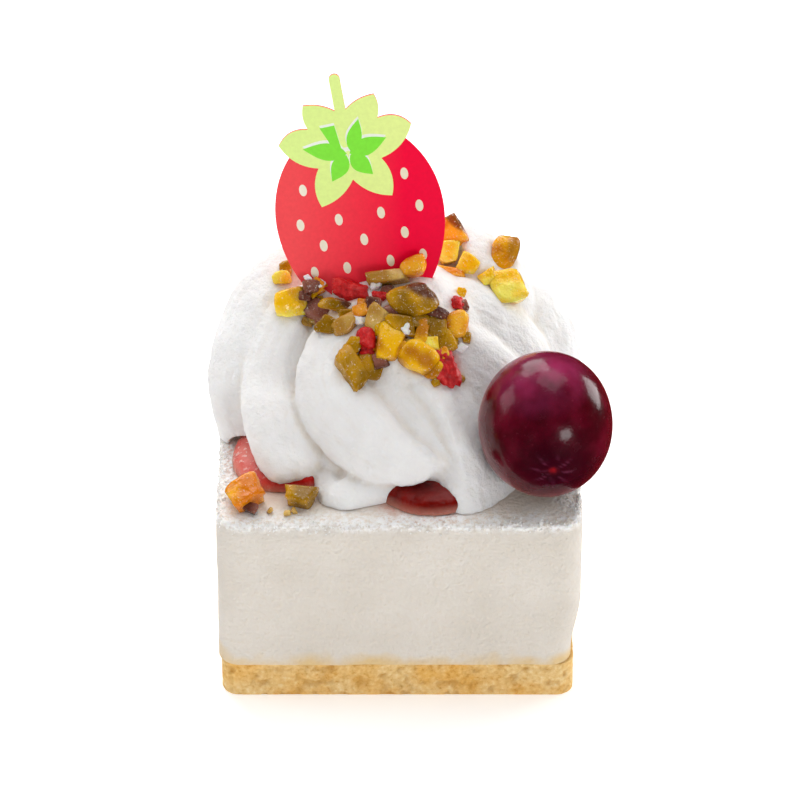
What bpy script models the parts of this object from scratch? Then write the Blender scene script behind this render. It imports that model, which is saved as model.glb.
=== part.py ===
"""Berry cake: a square mousse cake on a sponge base, topped with twisted whipped cream.

Lengths are millimetres in the shared frame: X to the right, Y to the back, Z up,
with the origin at the middle of the sponge's underside.
"""
import math
from collections import namedtuple

import bpy
import bmesh
import numpy as np
from mathutils import Matrix, Vector
from mathutils.bvhtree import BVHTree
from mathutils.geometry import delaunay_2d_cdt

MM = 0.001
GAP = 0.3                       # between pieces that touch

# Cake block
SPONGE_SIDE = 55.4
SPONGE_HIGH = 5.8
SPONGE_CORNER = 2.6
MOUSSE_SIDE = 56.2
MOUSSE_HIGH = 27.2
MOUSSE_CORNER = 3.4
MOUSSE_EDGE = 0.8               # radius of its top and bottom edges
MOUSSE_TUCK = 1.3               # the right side draws in by this near the sponge
TUCK_HIGH = 11.0                # height over which it does
MOUSSE_BASE = SPONGE_HIGH + GAP
TOP = MOUSSE_BASE + MOUSSE_HIGH

# Jam pool under the cream: three discs run together, (across, depth, radius)
JAM_DISCS = [(-16.7, -10.4, 9.7), (-5.5, -12.5, 8.5), (4.6, -17.2, 8.8)]
JAM_HIGH = 2.3

# Whipped cream: twelve ridges twist down from the middle. Each has crest stations
# (across, depth, height above the mousse) and, at top, middle and foot, its half width
# to the left, to the right and its depth. Sharp is 0 for a round crest, 1 for a keen one.
Ridge = namedtuple("Ridge", "crest left right depth sharp")
CREAM_AXIS = (0.0, 4.0)         # middle of the swirl, across and depth
CORE_RADIUS = 18.5
CORE_HIGH = 24.6
RIDGES = {
    "far_left": Ridge(((-8, 14, 26), (-19, 15, 22.5), (-26, 10.5, 17.5), (-29.6, 3, 11),
                       (-29.6, -3, 5.5), (-27, -7, -3)), (5, 7, 5), (5, 8, 5), (5, 7, 6), 0.15),
    "left": Ridge(((-10, 4, 24), (-17.5, 4.5, 21), (-22, 0.5, 17), (-24.3, -6, 11),
                   (-23.4, -13.5, 6.4), (-20.6, -18.8, -2)), (3, 4.5, 4.6), (5, 8, 5), (4, 6, 6), 0.3),
    "flap": Ridge(((-4, 0, 24.5), (-11, -7.4, 18.6), (-10.6, -14.2, 13.4), (-5.6, -18.9, 9.8),
                   (0.2, -20.9, 7.9), (6.5, -20.6, 6.4)), (7.5, 9.6, 2.5), (4, 6, 2.5), (3, 3.6, 1.6), 0),
    "fold": Ridge(((-12, -9, 10), (-13, -13.5, 7), (-12, -17.5, 5), (-8.5, -20.6, 4.2),
                   (-3, -20.9, 4.4), (2.5, -19.6, 4.4)), (3, 4, 3), (4, 5, 3), (4, 5, 3), 0.1),
    "fold_foot": Ridge(((-10.5, -13, 7), (-9.8, -18.5, 4.6), (-9.2, -22.4, 2.8), (-8.8, -25.4, -2.5)),
                       (4, 5.4, 5.6), (4, 6.5, 6), (4, 5, 5), 0),
    "keen": Ridge(((-2, 0, 24.6), (1.2, -8.3, 18.8), (5, -12.2, 15.4), (8.1, -15.1, 12),
                   (10.5, -18.8, 7.6), (11.2, -22.4, 3.8), (11.7, -27.4, -2)),
                  (3, 5.5, 3.0), (6, 11, 9), (4, 7, 4), 0.6),
    "right": Ridge(((2, 1, 25), (8, -3.4, 21.6), (16.4, -4.4, 15.2), (21, -5, 10),
                    (24.5, -6, 4), (26, -6, -3)), (4, 6, 6), (5, 8, 7), (5, 7, 6), 0.45),
    "far_right": Ridge(((-1, 8, 23), (9.1, 7.5, 22), (14.7, 7.2, 20), (20, 6.5, 15.5),
                        (24, 4, 9.5), (27, 0, -3)), (5, 9, 8), (3, 6, 7), (5, 8, 6), 0.25),
    "right_foot": Ridge(((15, 20, 18), (22, 18, 15), (27, 14.5, 11), (28.9, 10, 7),
                         (28.5, 5, 2.5), (27.5, 3, -3)), (5, 6, 6), (5, 6, 6), (5, 7, 6), 0.15),
    "back_right": Ridge(((1, 12.5, 26), (7, 18, 25.6), (12.4, 18.8, 24.2), (16.8, 16.5, 21.8),
                         (20.4, 13.6, 18.2), (23.2, 9, 8)), (4, 6, 6), (4, 6, 6), (4, 7, 7), 0.25),
    "back_side": Ridge(((3, 14, 26), (10, 21.5, 23.6), (17, 25, 18), (20, 26, 11),
                        (20.5, 26.5, -3)), (5, 7, 6), (5, 7, 6), (5, 7, 6), 0.2),
    "back": Ridge(((-3, 13, 26.2), (-1, 21, 24), (1.5, 25.2, 18), (2, 27.2, 11),
                   (0, 27.3, -3)), (5, 8, 7), (5, 8, 7), (5, 7, 6), 0.25),
    "back_left": Ridge(((-5, 13, 26.2), (-11.5, 19.5, 23.8), (-16.5, 22, 18), (-19.5, 23, 11),
                        (-20, 22.5, -3)), (5, 8, 7), (5, 8, 7), (5, 7, 6), 0.25),
}
ALONG = 13                      # sections along a ridge
AROUND = 12                     # points round a section

# Berry in its pocket of cream, right of the front
BERRY_AT = (22.7, -17.8, TOP + 11.65)
BERRY_RADII = (9.85, 11.0, 11.3)
BERRY_CALYX_AIM = (0.08, -0.95, -0.12)
DIMPLE_RADIUS = 1.6
DIMPLE_DEEP = 0.5

# Pick: a flat printed strawberry, its calyx uppermost. Down and across are in its own plane.
PICK_AT = (-8.5, 9.3, TOP + 44.6)   # middle of the calyx
PICK_ROLL = math.radians(10)        # the top leans to the left
PICK_LEAN = math.radians(15)        # and to the back
PICK_THICK = 0.5
PICK_BOW = 0.9                      # the sides curve back by this
FRUIT_HALF = 13.0
FRUIT_WIDEST = 11.5                 # down from the calyx's middle
FRUIT_ABOVE = 15.3
FRUIT_BELOW = 19.9
LEAF_SIDE_TIP = (-1.65, 10.3)
LEAF_UPPER_TIP = (-7.4, 5.5)
LEAF_NOTCH = (-3.6, 5.4)
LEAF_ROOT = (2.6, 5.0)
LEAF_BULGE = 0.9
STEM_HALF = 0.85
STEM_TOP = -11.6
PICK_NEAR = (-5.5, 9.0)             # the fruit's middle and half width where it meets the cream

# The viewing point from which the scattered bits were laid out, and the plane they are
# measured in, which faces it through the middle of the mousse's front edge
VIEW_RISE = math.radians(35)
VIEW_FAR = 700.0
VIEW_MIDDLE = (0.0, -28.0, TOP)

# Chopped nuts and dried berry bits on the cream: seen across and up in that plane,
# then width, height and depth, how far the middle stands out of the cream, and turn
Bit = namedtuple("Bit", "across up wide high deep out turn")
BITS = [
    Bit(-17.2, 38.5, 1.7, 2.4, 1.8, 0.5, 0), Bit(-17.9, 37.1, 3.1, 2.1, 2.2, 0.6, 20),
    Bit(-16.7, 33.4, 4.3, 4.3, 3.6, 0.7, 0), Bit(-14.4, 34.7, 1.6, 1.6, 1.6, 0.5, 0),
    Bit(-11.9, 32.1, 4.6, 3.4, 3.2, 0.8, -20), Bit(-10.6, 30.2, 2.6, 2.2, 2.4, 0.6, 0),
    Bit(-8.5, 29.9, 3.0, 2.2, 2.4, 0.8, 15), Bit(-9.4, 33.1, 4.6, 1.7, 2.0, 0.9, -10),
    Bit(-7.4, 35.5, 6.4, 3.6, 3.2, 1.6, -8), Bit(-2.9, 34.5, 2.4, 1.8, 1.8, 0.9, 0),
    Bit(2.0, 38.8, 4.0, 3.0, 3.0, 1.0, 10), Bit(-1.4, 37.5, 5.4, 2.4, 2.4, 1.4, -12),
    Bit(-5.9, 32.4, 2.4, 1.8, 2.0, 0.7, 30), Bit(-3.9, 33.1, 2.2, 2.0, 2.0, 0.7, 0),
    Bit(2.0, 34.0, 8.6, 6.0, 5.0, 1.6, -18), Bit(-3.3, 31.1, 3.2, 3.6, 3.0, 0.9, 35),
    Bit(5.3, 32.1, 4.0, 2.1, 2.4, 0.8, 0), Bit(5.6, 29.9, 2.4, 2.4, 2.4, 0.6, 0),
    Bit(8.8, 30.1, 3.3, 4.0, 3.0, 1.0, 10), Bit(3.3, 29.0, 1.7, 3.7, 2.0, 0.8, 12),
    Bit(-4.9, 28.4, 3.1, 3.1, 2.6, 1.0, 0), Bit(-4.9, 26.4, 2.8, 2.2, 2.2, 0.8, 0),
    Bit(-1.7, 27.4, 4.0, 4.6, 3.4, 1.0, 15), Bit(2.7, 25.2, 6.2, 5.2, 4.2, 1.4, 25),
    Bit(5.3, 24.0, 2.0, 3.2, 2.2, 0.9, 0), Bit(6.5, 24.0, 4.0, 6.6, 3.6, 1.1, 0),
    Bit(-7.1, 23.6, 3.0, 5.8, 2.8, 1.0, 30), Bit(-4.3, 23.7, 3.1, 3.6, 2.6, 0.8, 0),
    Bit(4.9, 27.5, 2.0, 2.0, 2.0, 0.8, 0), Bit(8.1, 44.1, 3.2, 4.2, 2.4, 1.2, 15),
    Bit(7.3, 41.0, 2.8, 3.6, 2.6, 0.9, 0), Bit(11.6, 39.5, 3.2, 3.2, 2.8, 0.8, 40),
    Bit(7.9, 38.0, 4.6, 1.4, 1.6, 0.5, -12), Bit(14.0, 37.1, 3.0, 2.6, 2.6, 0.5, 0),
    Bit(16.7, 35.4, 4.9, 5.1, 4.4, 1.2, 20), Bit(16.0, 40.7, 4.5, 5.7, 3.6, 1.8, -20),
    Bit(8.8, 33.3, 2.5, 2.5, 2.4, 0.7, 0), Bit(0.3, 30.6, 3.4, 2.4, 2.6, 0.9, -30),
    Bit(-13.4, 35.9, 2.6, 2.2, 2.4, 0.6, 10), Bit(-6.9, 27.0, 2.0, 2.4, 2.0, 0.7, -15),
]
# Bits in the jam's left edge, on the mousse: middle (across, depth, height above it), sizes, turn
JAM_BITS = [((-23.6, -20.6, 2.4), (5.6, 4.4, 4.6), 30), ((-15.9, -20.8, 2.1), (5.2, 3.6, 3.6), -15)]
BIT_DRAWN = 0.55                # how far in a bit's corners may lie
SEED = 11

COLOURS = {                     # linear base colour, roughness
    "sponge_base": ((0.62, 0.42, 0.20), 0.9),
    "mousse_block": ((0.72, 0.66, 0.58), 0.7),
    "berry_jam": ((0.20, 0.012, 0.008), 0.15),
    "whipped_cream": ((0.78, 0.74, 0.70), 0.55),
    "berry": ((0.07, 0.001, 0.006), 0.12),
    "strawberry_pick": ((0.75, 0.01, 0.05), 0.3),
}


def clear_scene():
    """Remove whatever objects the scene holds."""
    for obj in list(bpy.data.objects):
        bpy.data.objects.remove(obj, do_unlink=True)


def finish(name):
    """Principled material of a sub-part."""
    colour, roughness = COLOURS[name]
    material = bpy.data.materials.new(name)
    material.use_nodes = True
    shader = material.node_tree.nodes["Principled BSDF"]
    shader.inputs["Base Color"].default_value = (*colour, 1.0)
    shader.inputs["Roughness"].default_value = roughness
    shader.inputs["Metallic"].default_value = 0.0
    return material


def add_object(name, points, faces):
    """Mesh object from points in millimetres, with its faces turned outwards."""
    mesh = bpy.data.meshes.new(name)
    mesh.from_pydata((np.asarray(points, float) * MM).tolist(), [], [list(map(int, f)) for f in faces])
    shell = bmesh.new()
    shell.from_mesh(mesh)
    bmesh.ops.recalc_face_normals(shell, faces=shell.faces)
    shell.to_mesh(mesh)
    shell.free()
    obj = bpy.data.objects.new(name, mesh)
    bpy.context.scene.collection.objects.link(obj)
    return obj


def drop_object(obj):
    """Remove an object and its mesh."""
    mesh = obj.data
    bpy.data.objects.remove(obj, do_unlink=True)
    bpy.data.meshes.remove(mesh)


def bake(obj):
    """Apply all modifiers of an object."""
    bpy.context.view_layer.update()
    solved = obj.evaluated_get(bpy.context.evaluated_depsgraph_get())
    mesh = bpy.data.meshes.new_from_object(solved)
    obj.modifiers.clear()
    old = obj.data
    obj.data = mesh
    bpy.data.meshes.remove(old)


def fuse(obj, pieces):
    """Union an object with loose pieces, by one Boolean on their collection."""
    heap = bpy.data.collections.new("pieces")
    bpy.context.scene.collection.children.link(heap)
    for piece in pieces:
        bpy.context.scene.collection.objects.unlink(piece)
        heap.objects.link(piece)
    union = obj.modifiers.new("union", "BOOLEAN")
    union.operation = "UNION"
    union.operand_type = "COLLECTION"
    union.collection = heap
    union.solver = "MANIFOLD"
    bake(obj)
    for piece in pieces:
        drop_object(piece)
    bpy.data.collections.remove(heap)


def cut(obj, cutter):
    """Take a cutter's volume away from an object, and remove the cutter."""
    cutter.hide_render = True
    cutter.display_type = "WIRE"
    difference = obj.modifiers.new("cut", "BOOLEAN")
    difference.operation = "DIFFERENCE"
    difference.object = cutter
    difference.solver = "MANIFOLD"
    bake(obj)
    drop_object(cutter)


def keep_main_body(obj):
    """Drop loose scraps and sealed hollows: only the largest shell stays."""
    shell = bmesh.new()
    shell.from_mesh(obj.data)
    bmesh.ops.triangulate(shell, faces=shell.faces)
    left, bodies = set(shell.faces), []
    while left:
        body, front = set(), [left.pop()]
        while front:
            face = front.pop()
            body.add(face)
            for edge in face.edges:
                for other in edge.link_faces:
                    if other in left:
                        left.remove(other)
                        front.append(other)
        bodies.append(body)
    bodies.sort(key=len)
    scraps = [face for body in bodies[:-1] for face in body]
    bmesh.ops.delete(shell, geom=scraps, context="FACES")
    shell.to_mesh(obj.data)
    shell.free()


def dress(obj, smooth_angle=40.0):
    """Give an object the material of its own name and smooth its round parts."""
    obj.data.materials.clear()
    obj.data.materials.append(finish(obj.name))
    obj.data.shade_smooth()
    obj.data.set_sharp_from_angle(angle=math.radians(smooth_angle))


def ring_faces(rings, around, closed_ends=True):
    """Quads between successive rings of points, and a cap at either end."""
    faces = []
    for i in range(rings - 1):
        for j in range(around):
            k = (j + 1) % around
            faces.append((i * around + j, i * around + k, (i + 1) * around + k, (i + 1) * around + j))
    if closed_ends:
        faces.append(tuple(range(around))[::-1])
        faces.append(tuple((rings - 1) * around + j for j in range(around)))
    return faces


def rounded_square(side, corner, inset=0.0, right_tuck=0.0, steps=4):
    """Plan outline of a square with round corners, drawn in by an inset."""
    half, radius = side / 2 - inset, max(corner - inset, 0.3)
    points = []
    for quarter in range(4):
        for step in range(steps + 1):
            angle = math.pi / 2 * (quarter + step / steps)
            x = math.copysign(half - radius, math.cos(math.pi / 2 * (quarter + 0.5))) + radius * math.cos(angle)
            y = math.copysign(half - radius, math.sin(math.pi / 2 * (quarter + 0.5))) + radius * math.sin(angle)
            points.append((x - right_tuck * (0.5 + 0.5 * x / half), y))
    return points


def block(name, side, corner, sections):
    """Square block from plan outlines at rising heights: (height, inset, right tuck)."""
    points, around = [], 0
    for height, inset, tuck in sections:
        outline = rounded_square(side, corner, inset, tuck)
        around = len(outline)
        points += [(x, y, height) for x, y in outline]
    return add_object(name, points, ring_faces(len(sections), around))


def make_sponge():
    """Thin sponge base, flat underneath."""
    edge = 0.5
    return block("sponge_base", SPONGE_SIDE, SPONGE_CORNER, [
        (0.0, edge, 0.4), (edge, 0.0, 0.4), (SPONGE_HIGH - edge, 0.0, 0.4), (SPONGE_HIGH, edge, 0.4)])


def make_mousse():
    """Mousse block: round corners, soft edges, the right side drawn in near the sponge."""
    soft = [MOUSSE_EDGE * (1 - math.cos(math.radians(a))) for a in (0, 45, 90)]
    rise = [MOUSSE_EDGE * math.sin(math.radians(a)) for a in (0, 45, 90)]
    sections = [(MOUSSE_BASE + MOUSSE_EDGE - r, s, MOUSSE_TUCK) for s, r in zip(soft[::-1], rise[::-1])]
    for share in (0.35, 0.7, 1.0):
        tuck = MOUSSE_TUCK * 0.5 * (1 + math.cos(math.pi * share))
        sections.append((MOUSSE_BASE + MOUSSE_EDGE + TUCK_HIGH * share, 0.0, tuck))
    sections += [(TOP - MOUSSE_EDGE + r, s, 0.0) for s, r in zip(soft, rise)]
    return block("mousse_block", MOUSSE_SIDE, MOUSSE_CORNER, sections)


def jam_disc(name, disc, grow, around=26):
    """Low disc with a round rim, from under the mousse's top up."""
    x, y, radius = disc
    rim = [(0.0, -1.0), (0.0, 0.1), (0.3, 0.55), (1.0, 0.85), (2.6, 1.0)]
    points = []
    for inset, share in rim:
        reach = radius + grow - inset
        height = TOP + GAP + (JAM_HIGH - GAP) * share + (grow if share > 0 else 0.0)
        for step in range(around):
            angle = 2 * math.pi * step / around
            points.append((x + reach * math.cos(angle), y + reach * math.sin(angle), height))
    return add_object(name, points, ring_faces(len(rim), around))


def jam_shell(name, grow=0.0):
    """Pool of three discs run together, grown by a clearance."""
    pool = jam_disc(name, JAM_DISCS[0], grow)
    fuse(pool, [jam_disc("disc", disc, grow) for disc in JAM_DISCS[1:]])
    return pool


def make_jam():
    """Jam pool with two chopped bits fused into its left edge."""
    jam = jam_shell("berry_jam")
    rng = np.random.default_rng(SEED)
    bits = []
    for (x, y, z), sizes, turn in JAM_BITS:
        bits.append(chopped_bit(rng, Vector((x, y, TOP + z)), Vector((0, 0, 1)), sizes, math.radians(turn)))
    fuse(jam, bits)
    floor = box("floor", (-60, -60, TOP - 20), (60, 60, TOP + GAP))
    cut(jam, floor)
    keep_main_body(jam)
    return jam


def box(name, low, high):
    """Plain box between two corners."""
    points = [(x, y, z) for x in (low[0], high[0]) for y in (low[1], high[1]) for z in (low[2], high[2])]
    faces = [(0, 1, 3, 2), (4, 6, 7, 5), (0, 4, 5, 1), (2, 3, 7, 6), (0, 2, 6, 4), (1, 5, 7, 3)]
    return add_object(name, points, faces)


def curve_through(stations, share):
    """Catmull-Rom curve through stations, read at shares from 0 to 1 of its length."""
    p = np.array(stations, float).reshape(len(stations), -1)
    p = np.vstack([2 * p[0] - p[1], p, 2 * p[-1] - p[-2]])
    spans = len(p) - 3
    x = np.clip(share, 0, 1) * spans
    i = np.minimum(x.astype(int), spans - 1)
    f = (x - i)[:, None]
    a, b, c, d = p[i], p[i + 1], p[i + 2], p[i + 3]
    bend = (2 * a - 5 * b + 4 * c - d) * f ** 2 + (3 * b - a - 3 * c + d) * f ** 3
    return 0.5 * (2 * b + (c - a) * f + bend)


def ridge_points(ridge, along, around):
    """Rings of points round a cream ridge, whose crest runs through its stations.

    A section is a circle stretched to the half widths and the depth, its sides drawn in
    towards the crest by the sharpness, and it shrinks to a round tip at either end.
    """
    share = np.linspace(0, 1, along)
    crest = curve_through(ridge.crest, share)
    path = np.gradient(crest, axis=0)
    path /= np.linalg.norm(path, axis=1)[:, None]
    inner = np.stack([0 * share + CREAM_AXIS[0], 0 * share + CREAM_AXIS[1], 0.45 * crest[:, 2] - 4], -1)
    out = crest - inner
    out -= (out * path).sum(1)[:, None] * path
    out /= np.linalg.norm(out, axis=1)[:, None]
    side = np.cross(path, out)
    left, right, depth = (curve_through(w, share)[:, 0] for w in (ridge.left, ridge.right, ridge.depth))
    run = np.concatenate([[0], np.cumsum(np.linalg.norm(np.diff(crest, axis=0), axis=1))])
    tip = np.ones(along)
    for reach, distance in ((4.0, run), (3.5, run[-1] - run)):
        tip *= np.sqrt(np.clip(1 - (1 - np.clip(distance / reach, 0, 1)) ** 2, 0.02, 1))
    angle = np.linspace(0, 2 * math.pi, around, endpoint=False)
    up, across = np.cos(angle), np.sin(angle)
    across = across * (1 - ridge.sharp * np.maximum(up, 0) ** 1.5)
    width = np.where(across > 0, left[:, None], right[:, None]) * tip[:, None]
    middle = crest - out * depth[:, None]
    points = middle[:, None] + side[:, None] * (across * width)[..., None]
    points = points + out[:, None] * (up[None] * (depth * tip)[:, None])[..., None]
    return (points + (0, 0, TOP)).reshape(-1, 3)


def core_points(rings=9, around=24):
    """Dome inside the ridges: a lathe of a rounded profile about the swirl's middle."""
    points = []
    for ring in range(rings):
        angle = math.pi / 2 * ring / rings
        radius = CORE_RADIUS * math.cos(angle) ** 0.87
        height = TOP - 1.0 + (CORE_HIGH + 1.0) * math.sin(angle) ** 0.87
        for step in range(around):
            turn = 2 * math.pi * step / around
            points.append((CREAM_AXIS[0] + radius * math.cos(turn), CREAM_AXIS[1] + radius * math.sin(turn), height))
    return points, rings, around


def sight_line(across, up):
    """Start and direction of the sight line through a place in the layout plane."""
    ahead = Vector((0, math.cos(VIEW_RISE), -math.sin(VIEW_RISE)))
    upward = Vector((0, math.sin(VIEW_RISE), math.cos(VIEW_RISE)))
    middle = Vector(VIEW_MIDDLE)
    eye = middle - ahead * VIEW_FAR
    aim = middle + Vector((across, 0, 0)) + upward * up - eye
    return eye, aim.normalized()


def chopped_bit(rng, middle, out, sizes, turn):
    """Chopped morsel: the convex hull of a box's corners and face middles, unevenly drawn in."""
    side = Vector((1, 0, 0)) - out * out.x
    side.normalize()
    high = out.cross(side)
    frame = Matrix((side, high, out)).transposed() @ Matrix.Rotation(turn, 3, "Z")
    cube = np.array([(x, y, z) for x in (-1, 1) for y in (-1, 1) for z in (-1, 1)], float)
    middles = np.vstack([np.eye(3), -np.eye(3)])
    corners = np.vstack([cube * rng.uniform(BIT_DRAWN, 0.9, (8, 3)), middles + rng.uniform(-0.3, 0.3, (6, 3))])
    corners *= np.array(sizes) / 2
    shell = bmesh.new()
    for corner in corners:
        shell.verts.new((frame @ Vector(corner) + middle) * MM)
    hull = bmesh.ops.convex_hull(shell, input=shell.verts)
    inside = set(hull["geom_interior"]) | set(hull["geom_unused"])
    bmesh.ops.delete(shell, geom=[v for v in inside if isinstance(v, bmesh.types.BMVert)], context="VERTS")
    bmesh.ops.recalc_face_normals(shell, faces=shell.faces)
    mesh = bpy.data.meshes.new("bit")
    shell.to_mesh(mesh)
    shell.free()
    obj = bpy.data.objects.new("bit", mesh)
    bpy.context.scene.collection.objects.link(obj)
    return obj


def scatter_bits(cream):
    """Chopped bits where their sight lines meet the cream, partly sunk in it."""
    surface = BVHTree.FromPolygons([v.co / MM for v in cream.data.vertices],
                                   [tuple(p.vertices) for p in cream.data.polygons])
    rng = np.random.default_rng(SEED)
    bits = []
    plate_face = pick_place(0, 0, 1) - pick_place(0, 0, 0)
    for bit in BITS:
        eye, aim = sight_line(bit.across, bit.up)
        reach = (surface.ray_cast(eye, aim)[0] - eye).length
        plate = (pick_place(20.0, 0.0, 0.0) - eye).dot(plate_face) / aim.dot(plate_face)
        if abs(bit.across - PICK_NEAR[0]) < PICK_NEAR[1]:
            reach = min(reach, plate - 0.5 * bit.deep)
        towards = (-aim + Vector((0, 0, 0.35))).normalized()
        middle = eye + aim * (reach - bit.out + 0.3 * bit.deep)
        bits.append(chopped_bit(rng, middle, towards, (bit.wide, bit.high, bit.deep), math.radians(bit.turn)))
    return bits


def make_cream():
    """Twisted cream: core and ridges fused, with bits on it, cut clear of its neighbours."""
    points, rings, around = core_points()
    cream = add_object("whipped_cream", points, ring_faces(rings, around))
    ridges = []
    for name, ridge in RIDGES.items():
        rope = add_object(name, ridge_points(ridge, ALONG, AROUND), ring_faces(ALONG, AROUND))
        ridges.append(rope)
    fuse(cream, ridges)
    fuse(cream, scatter_bits(cream))
    cut(cream, box("floor", (-60, -60, TOP - 20), (60, 60, TOP + GAP)))
    cut(cream, jam_shell("jam_room", GAP))
    cut(cream, berry_shell("berry_room", GAP))
    cut(cream, pick_plate("pick_slot", GAP))
    keep_main_body(cream)
    return cream


def berry_shell(name, grow=0.0, rings=16, around=24):
    """Berry: an upright spheroid with a small dimple where its flower was."""
    radii = np.array(BERRY_RADII) + grow
    aim = np.array(BERRY_CALYX_AIM) / np.linalg.norm(BERRY_CALYX_AIM)
    points = []
    for ring in range(1, rings):
        tilt = math.pi * ring / rings
        for step in range(around):
            turn = 2 * math.pi * step / around
            way = np.array((math.sin(tilt) * math.cos(turn), math.sin(tilt) * math.sin(turn), math.cos(tilt)))
            off = math.acos(min(1.0, float(way @ aim))) * BERRY_RADII[1] / DIMPLE_RADIUS
            sink = DIMPLE_DEEP * math.exp(-off * off) if grow == 0.0 else 0.0
            points.append(np.array(BERRY_AT) + way * (radii - sink))
    pole = np.array((0, 0, radii[2]))
    points += [np.array(BERRY_AT) + pole, np.array(BERRY_AT) - pole]
    faces = ring_faces(rings - 1, around, closed_ends=False)
    high, low, last = len(points) - 2, len(points) - 1, (rings - 2) * around
    for step in range(around):
        after = (step + 1) % around
        faces.append((high, after, step))
        faces.append((low, last + step, last + after))
    return add_object(name, points, faces)


def fruit_outline(grow=0.0, steps=40):
    """Outline of the pick's fruit: half an ellipse above its widest place, a fuller point below."""
    points = []
    for step in range(steps):
        angle = 2 * math.pi * step / steps
        rise = math.cos(angle)
        reach = FRUIT_ABOVE if rise > 0 else FRUIT_BELOW
        power = 0.5 if rise > 0 else 0.78
        half = (FRUIT_HALF + grow) * max(1 - rise * rise, 0.0) ** power
        points.append((FRUIT_WIDEST - (reach + grow) * rise, math.copysign(half, math.sin(angle))))
    return points


def arc_between(start, end, bulge, steps=4):
    """Points from start to end along a shallow arc that swells to its left."""
    (sx, sy), (ex, ey) = start, end
    length = math.hypot(ex - sx, ey - sy)
    nx, ny = -(ey - sy) / length, (ex - sx) / length
    out = []
    for step in range(steps):
        f = step / steps
        swell = 4 * bulge * f * (1 - f)
        out.append((sx + (ex - sx) * f + nx * swell, sy + (ey - sy) * f + ny * swell))
    return out


def leaf_outlines(grow=0.0):
    """Outlines of the calyx's upper leaves and its stem, (down, across)."""
    outlines = []
    for mirror in (1, -1):
        side = (LEAF_SIDE_TIP[0], mirror * (LEAF_SIDE_TIP[1] + grow))
        upper = (LEAF_UPPER_TIP[0] - grow, mirror * (LEAF_UPPER_TIP[1] + grow))
        notch = (LEAF_NOTCH[0] - grow, mirror * LEAF_NOTCH[1])
        root = (LEAF_ROOT[0] + grow, mirror * LEAF_ROOT[1])
        bulge = -(LEAF_BULGE + grow) * mirror
        outline = [(LEAF_ROOT[0], 0.0)] + arc_between(root, side, bulge) + arc_between(side, notch, bulge)
        outline += arc_between(notch, upper, 0.4 * bulge) + arc_between(upper, (LEAF_NOTCH[0] - grow, 0.0), bulge)
        outlines.append(outline + [(LEAF_NOTCH[0] - grow, 0.0)])
    half = STEM_HALF + grow
    stem = [(LEAF_NOTCH[0], -half), (LEAF_NOTCH[0], half)]
    stem += [(STEM_TOP - grow + half - half * math.sin(a), half * math.cos(a))
             for a in np.linspace(0, math.pi, 7)]
    return outlines + [stem]


def pick_place(down, across, front):
    """Point of the pick's plate, from its place in the plane and its height off the middle."""
    roll = Matrix.Rotation(-PICK_ROLL, 3, "Y")
    lean = Matrix.Rotation(-PICK_LEAN, 3, "X")
    turn = lean @ roll
    bowed = front - PICK_BOW * (across / FRUIT_HALF) ** 2
    return Vector(PICK_AT) + turn @ Vector((across, -bowed, -down))


def pick_plate(name, grow=0.0):
    """Bowed plate in the outline of a strawberry with its calyx and stem."""
    outlines = [fruit_outline(grow)] + leaf_outlines(grow)
    points, faces = [], []
    for outline in outlines:
        faces.append(list(range(len(points), len(points) + len(outline))))
        points += [Vector(p) for p in outline]
    inner = [Vector((d, a)) for d in np.arange(-2, 30, 4.0) for a in (-9.0, -6.0, -3.0, 0.0, 3.0, 6.0, 9.0)]
    flat, _, triangles, *_ = delaunay_2d_cdt(points + inner, [], faces, 1, 1e-4)
    used = sorted({i for triangle in triangles for i in triangle})
    index = {old: new for new, old in enumerate(used)}
    triangles = [tuple(index[i] for i in triangle) for triangle in triangles]
    half, count = PICK_THICK / 2 + grow, len(used)
    solid = [pick_place(flat[i][0], flat[i][1], half) for i in used]
    solid += [pick_place(flat[i][0], flat[i][1], -half) for i in used]
    edges = [edge for t in triangles for edge in ((t[0], t[1]), (t[1], t[2]), (t[2], t[0]))]
    shared = set(edges)
    rim = [(a, b) for a, b in edges if (b, a) not in shared]
    shell = triangles + [tuple(i + count for i in t[::-1]) for t in triangles]
    shell += [(b, a, a + count, b + count) for a, b in rim]
    return add_object(name, [tuple(p) for p in solid], shell)


def build():
    """Make every sub-part of the cake."""
    clear_scene()
    made = [make_sponge(), make_mousse(), make_jam(), make_cream(), berry_shell("berry"),
            pick_plate("strawberry_pick")]
    for obj in made:
        dress(obj)


build()
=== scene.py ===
"""Looks of a square berry cake: sponge, mousse, jam, twisted cream, berry, chopped bits and a pick.

Lengths are millimetres in the shared frame (X right, Y back, Z up) until a mesh is made.
"""
import logging
import math
from dataclasses import dataclass, field
from enum import Enum

import bpy
import bmesh
import numpy as np
from mathutils import Matrix, Vector
from mathutils.bvhtree import BVHTree
from mathutils.geometry import delaunay_2d_cdt


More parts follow.
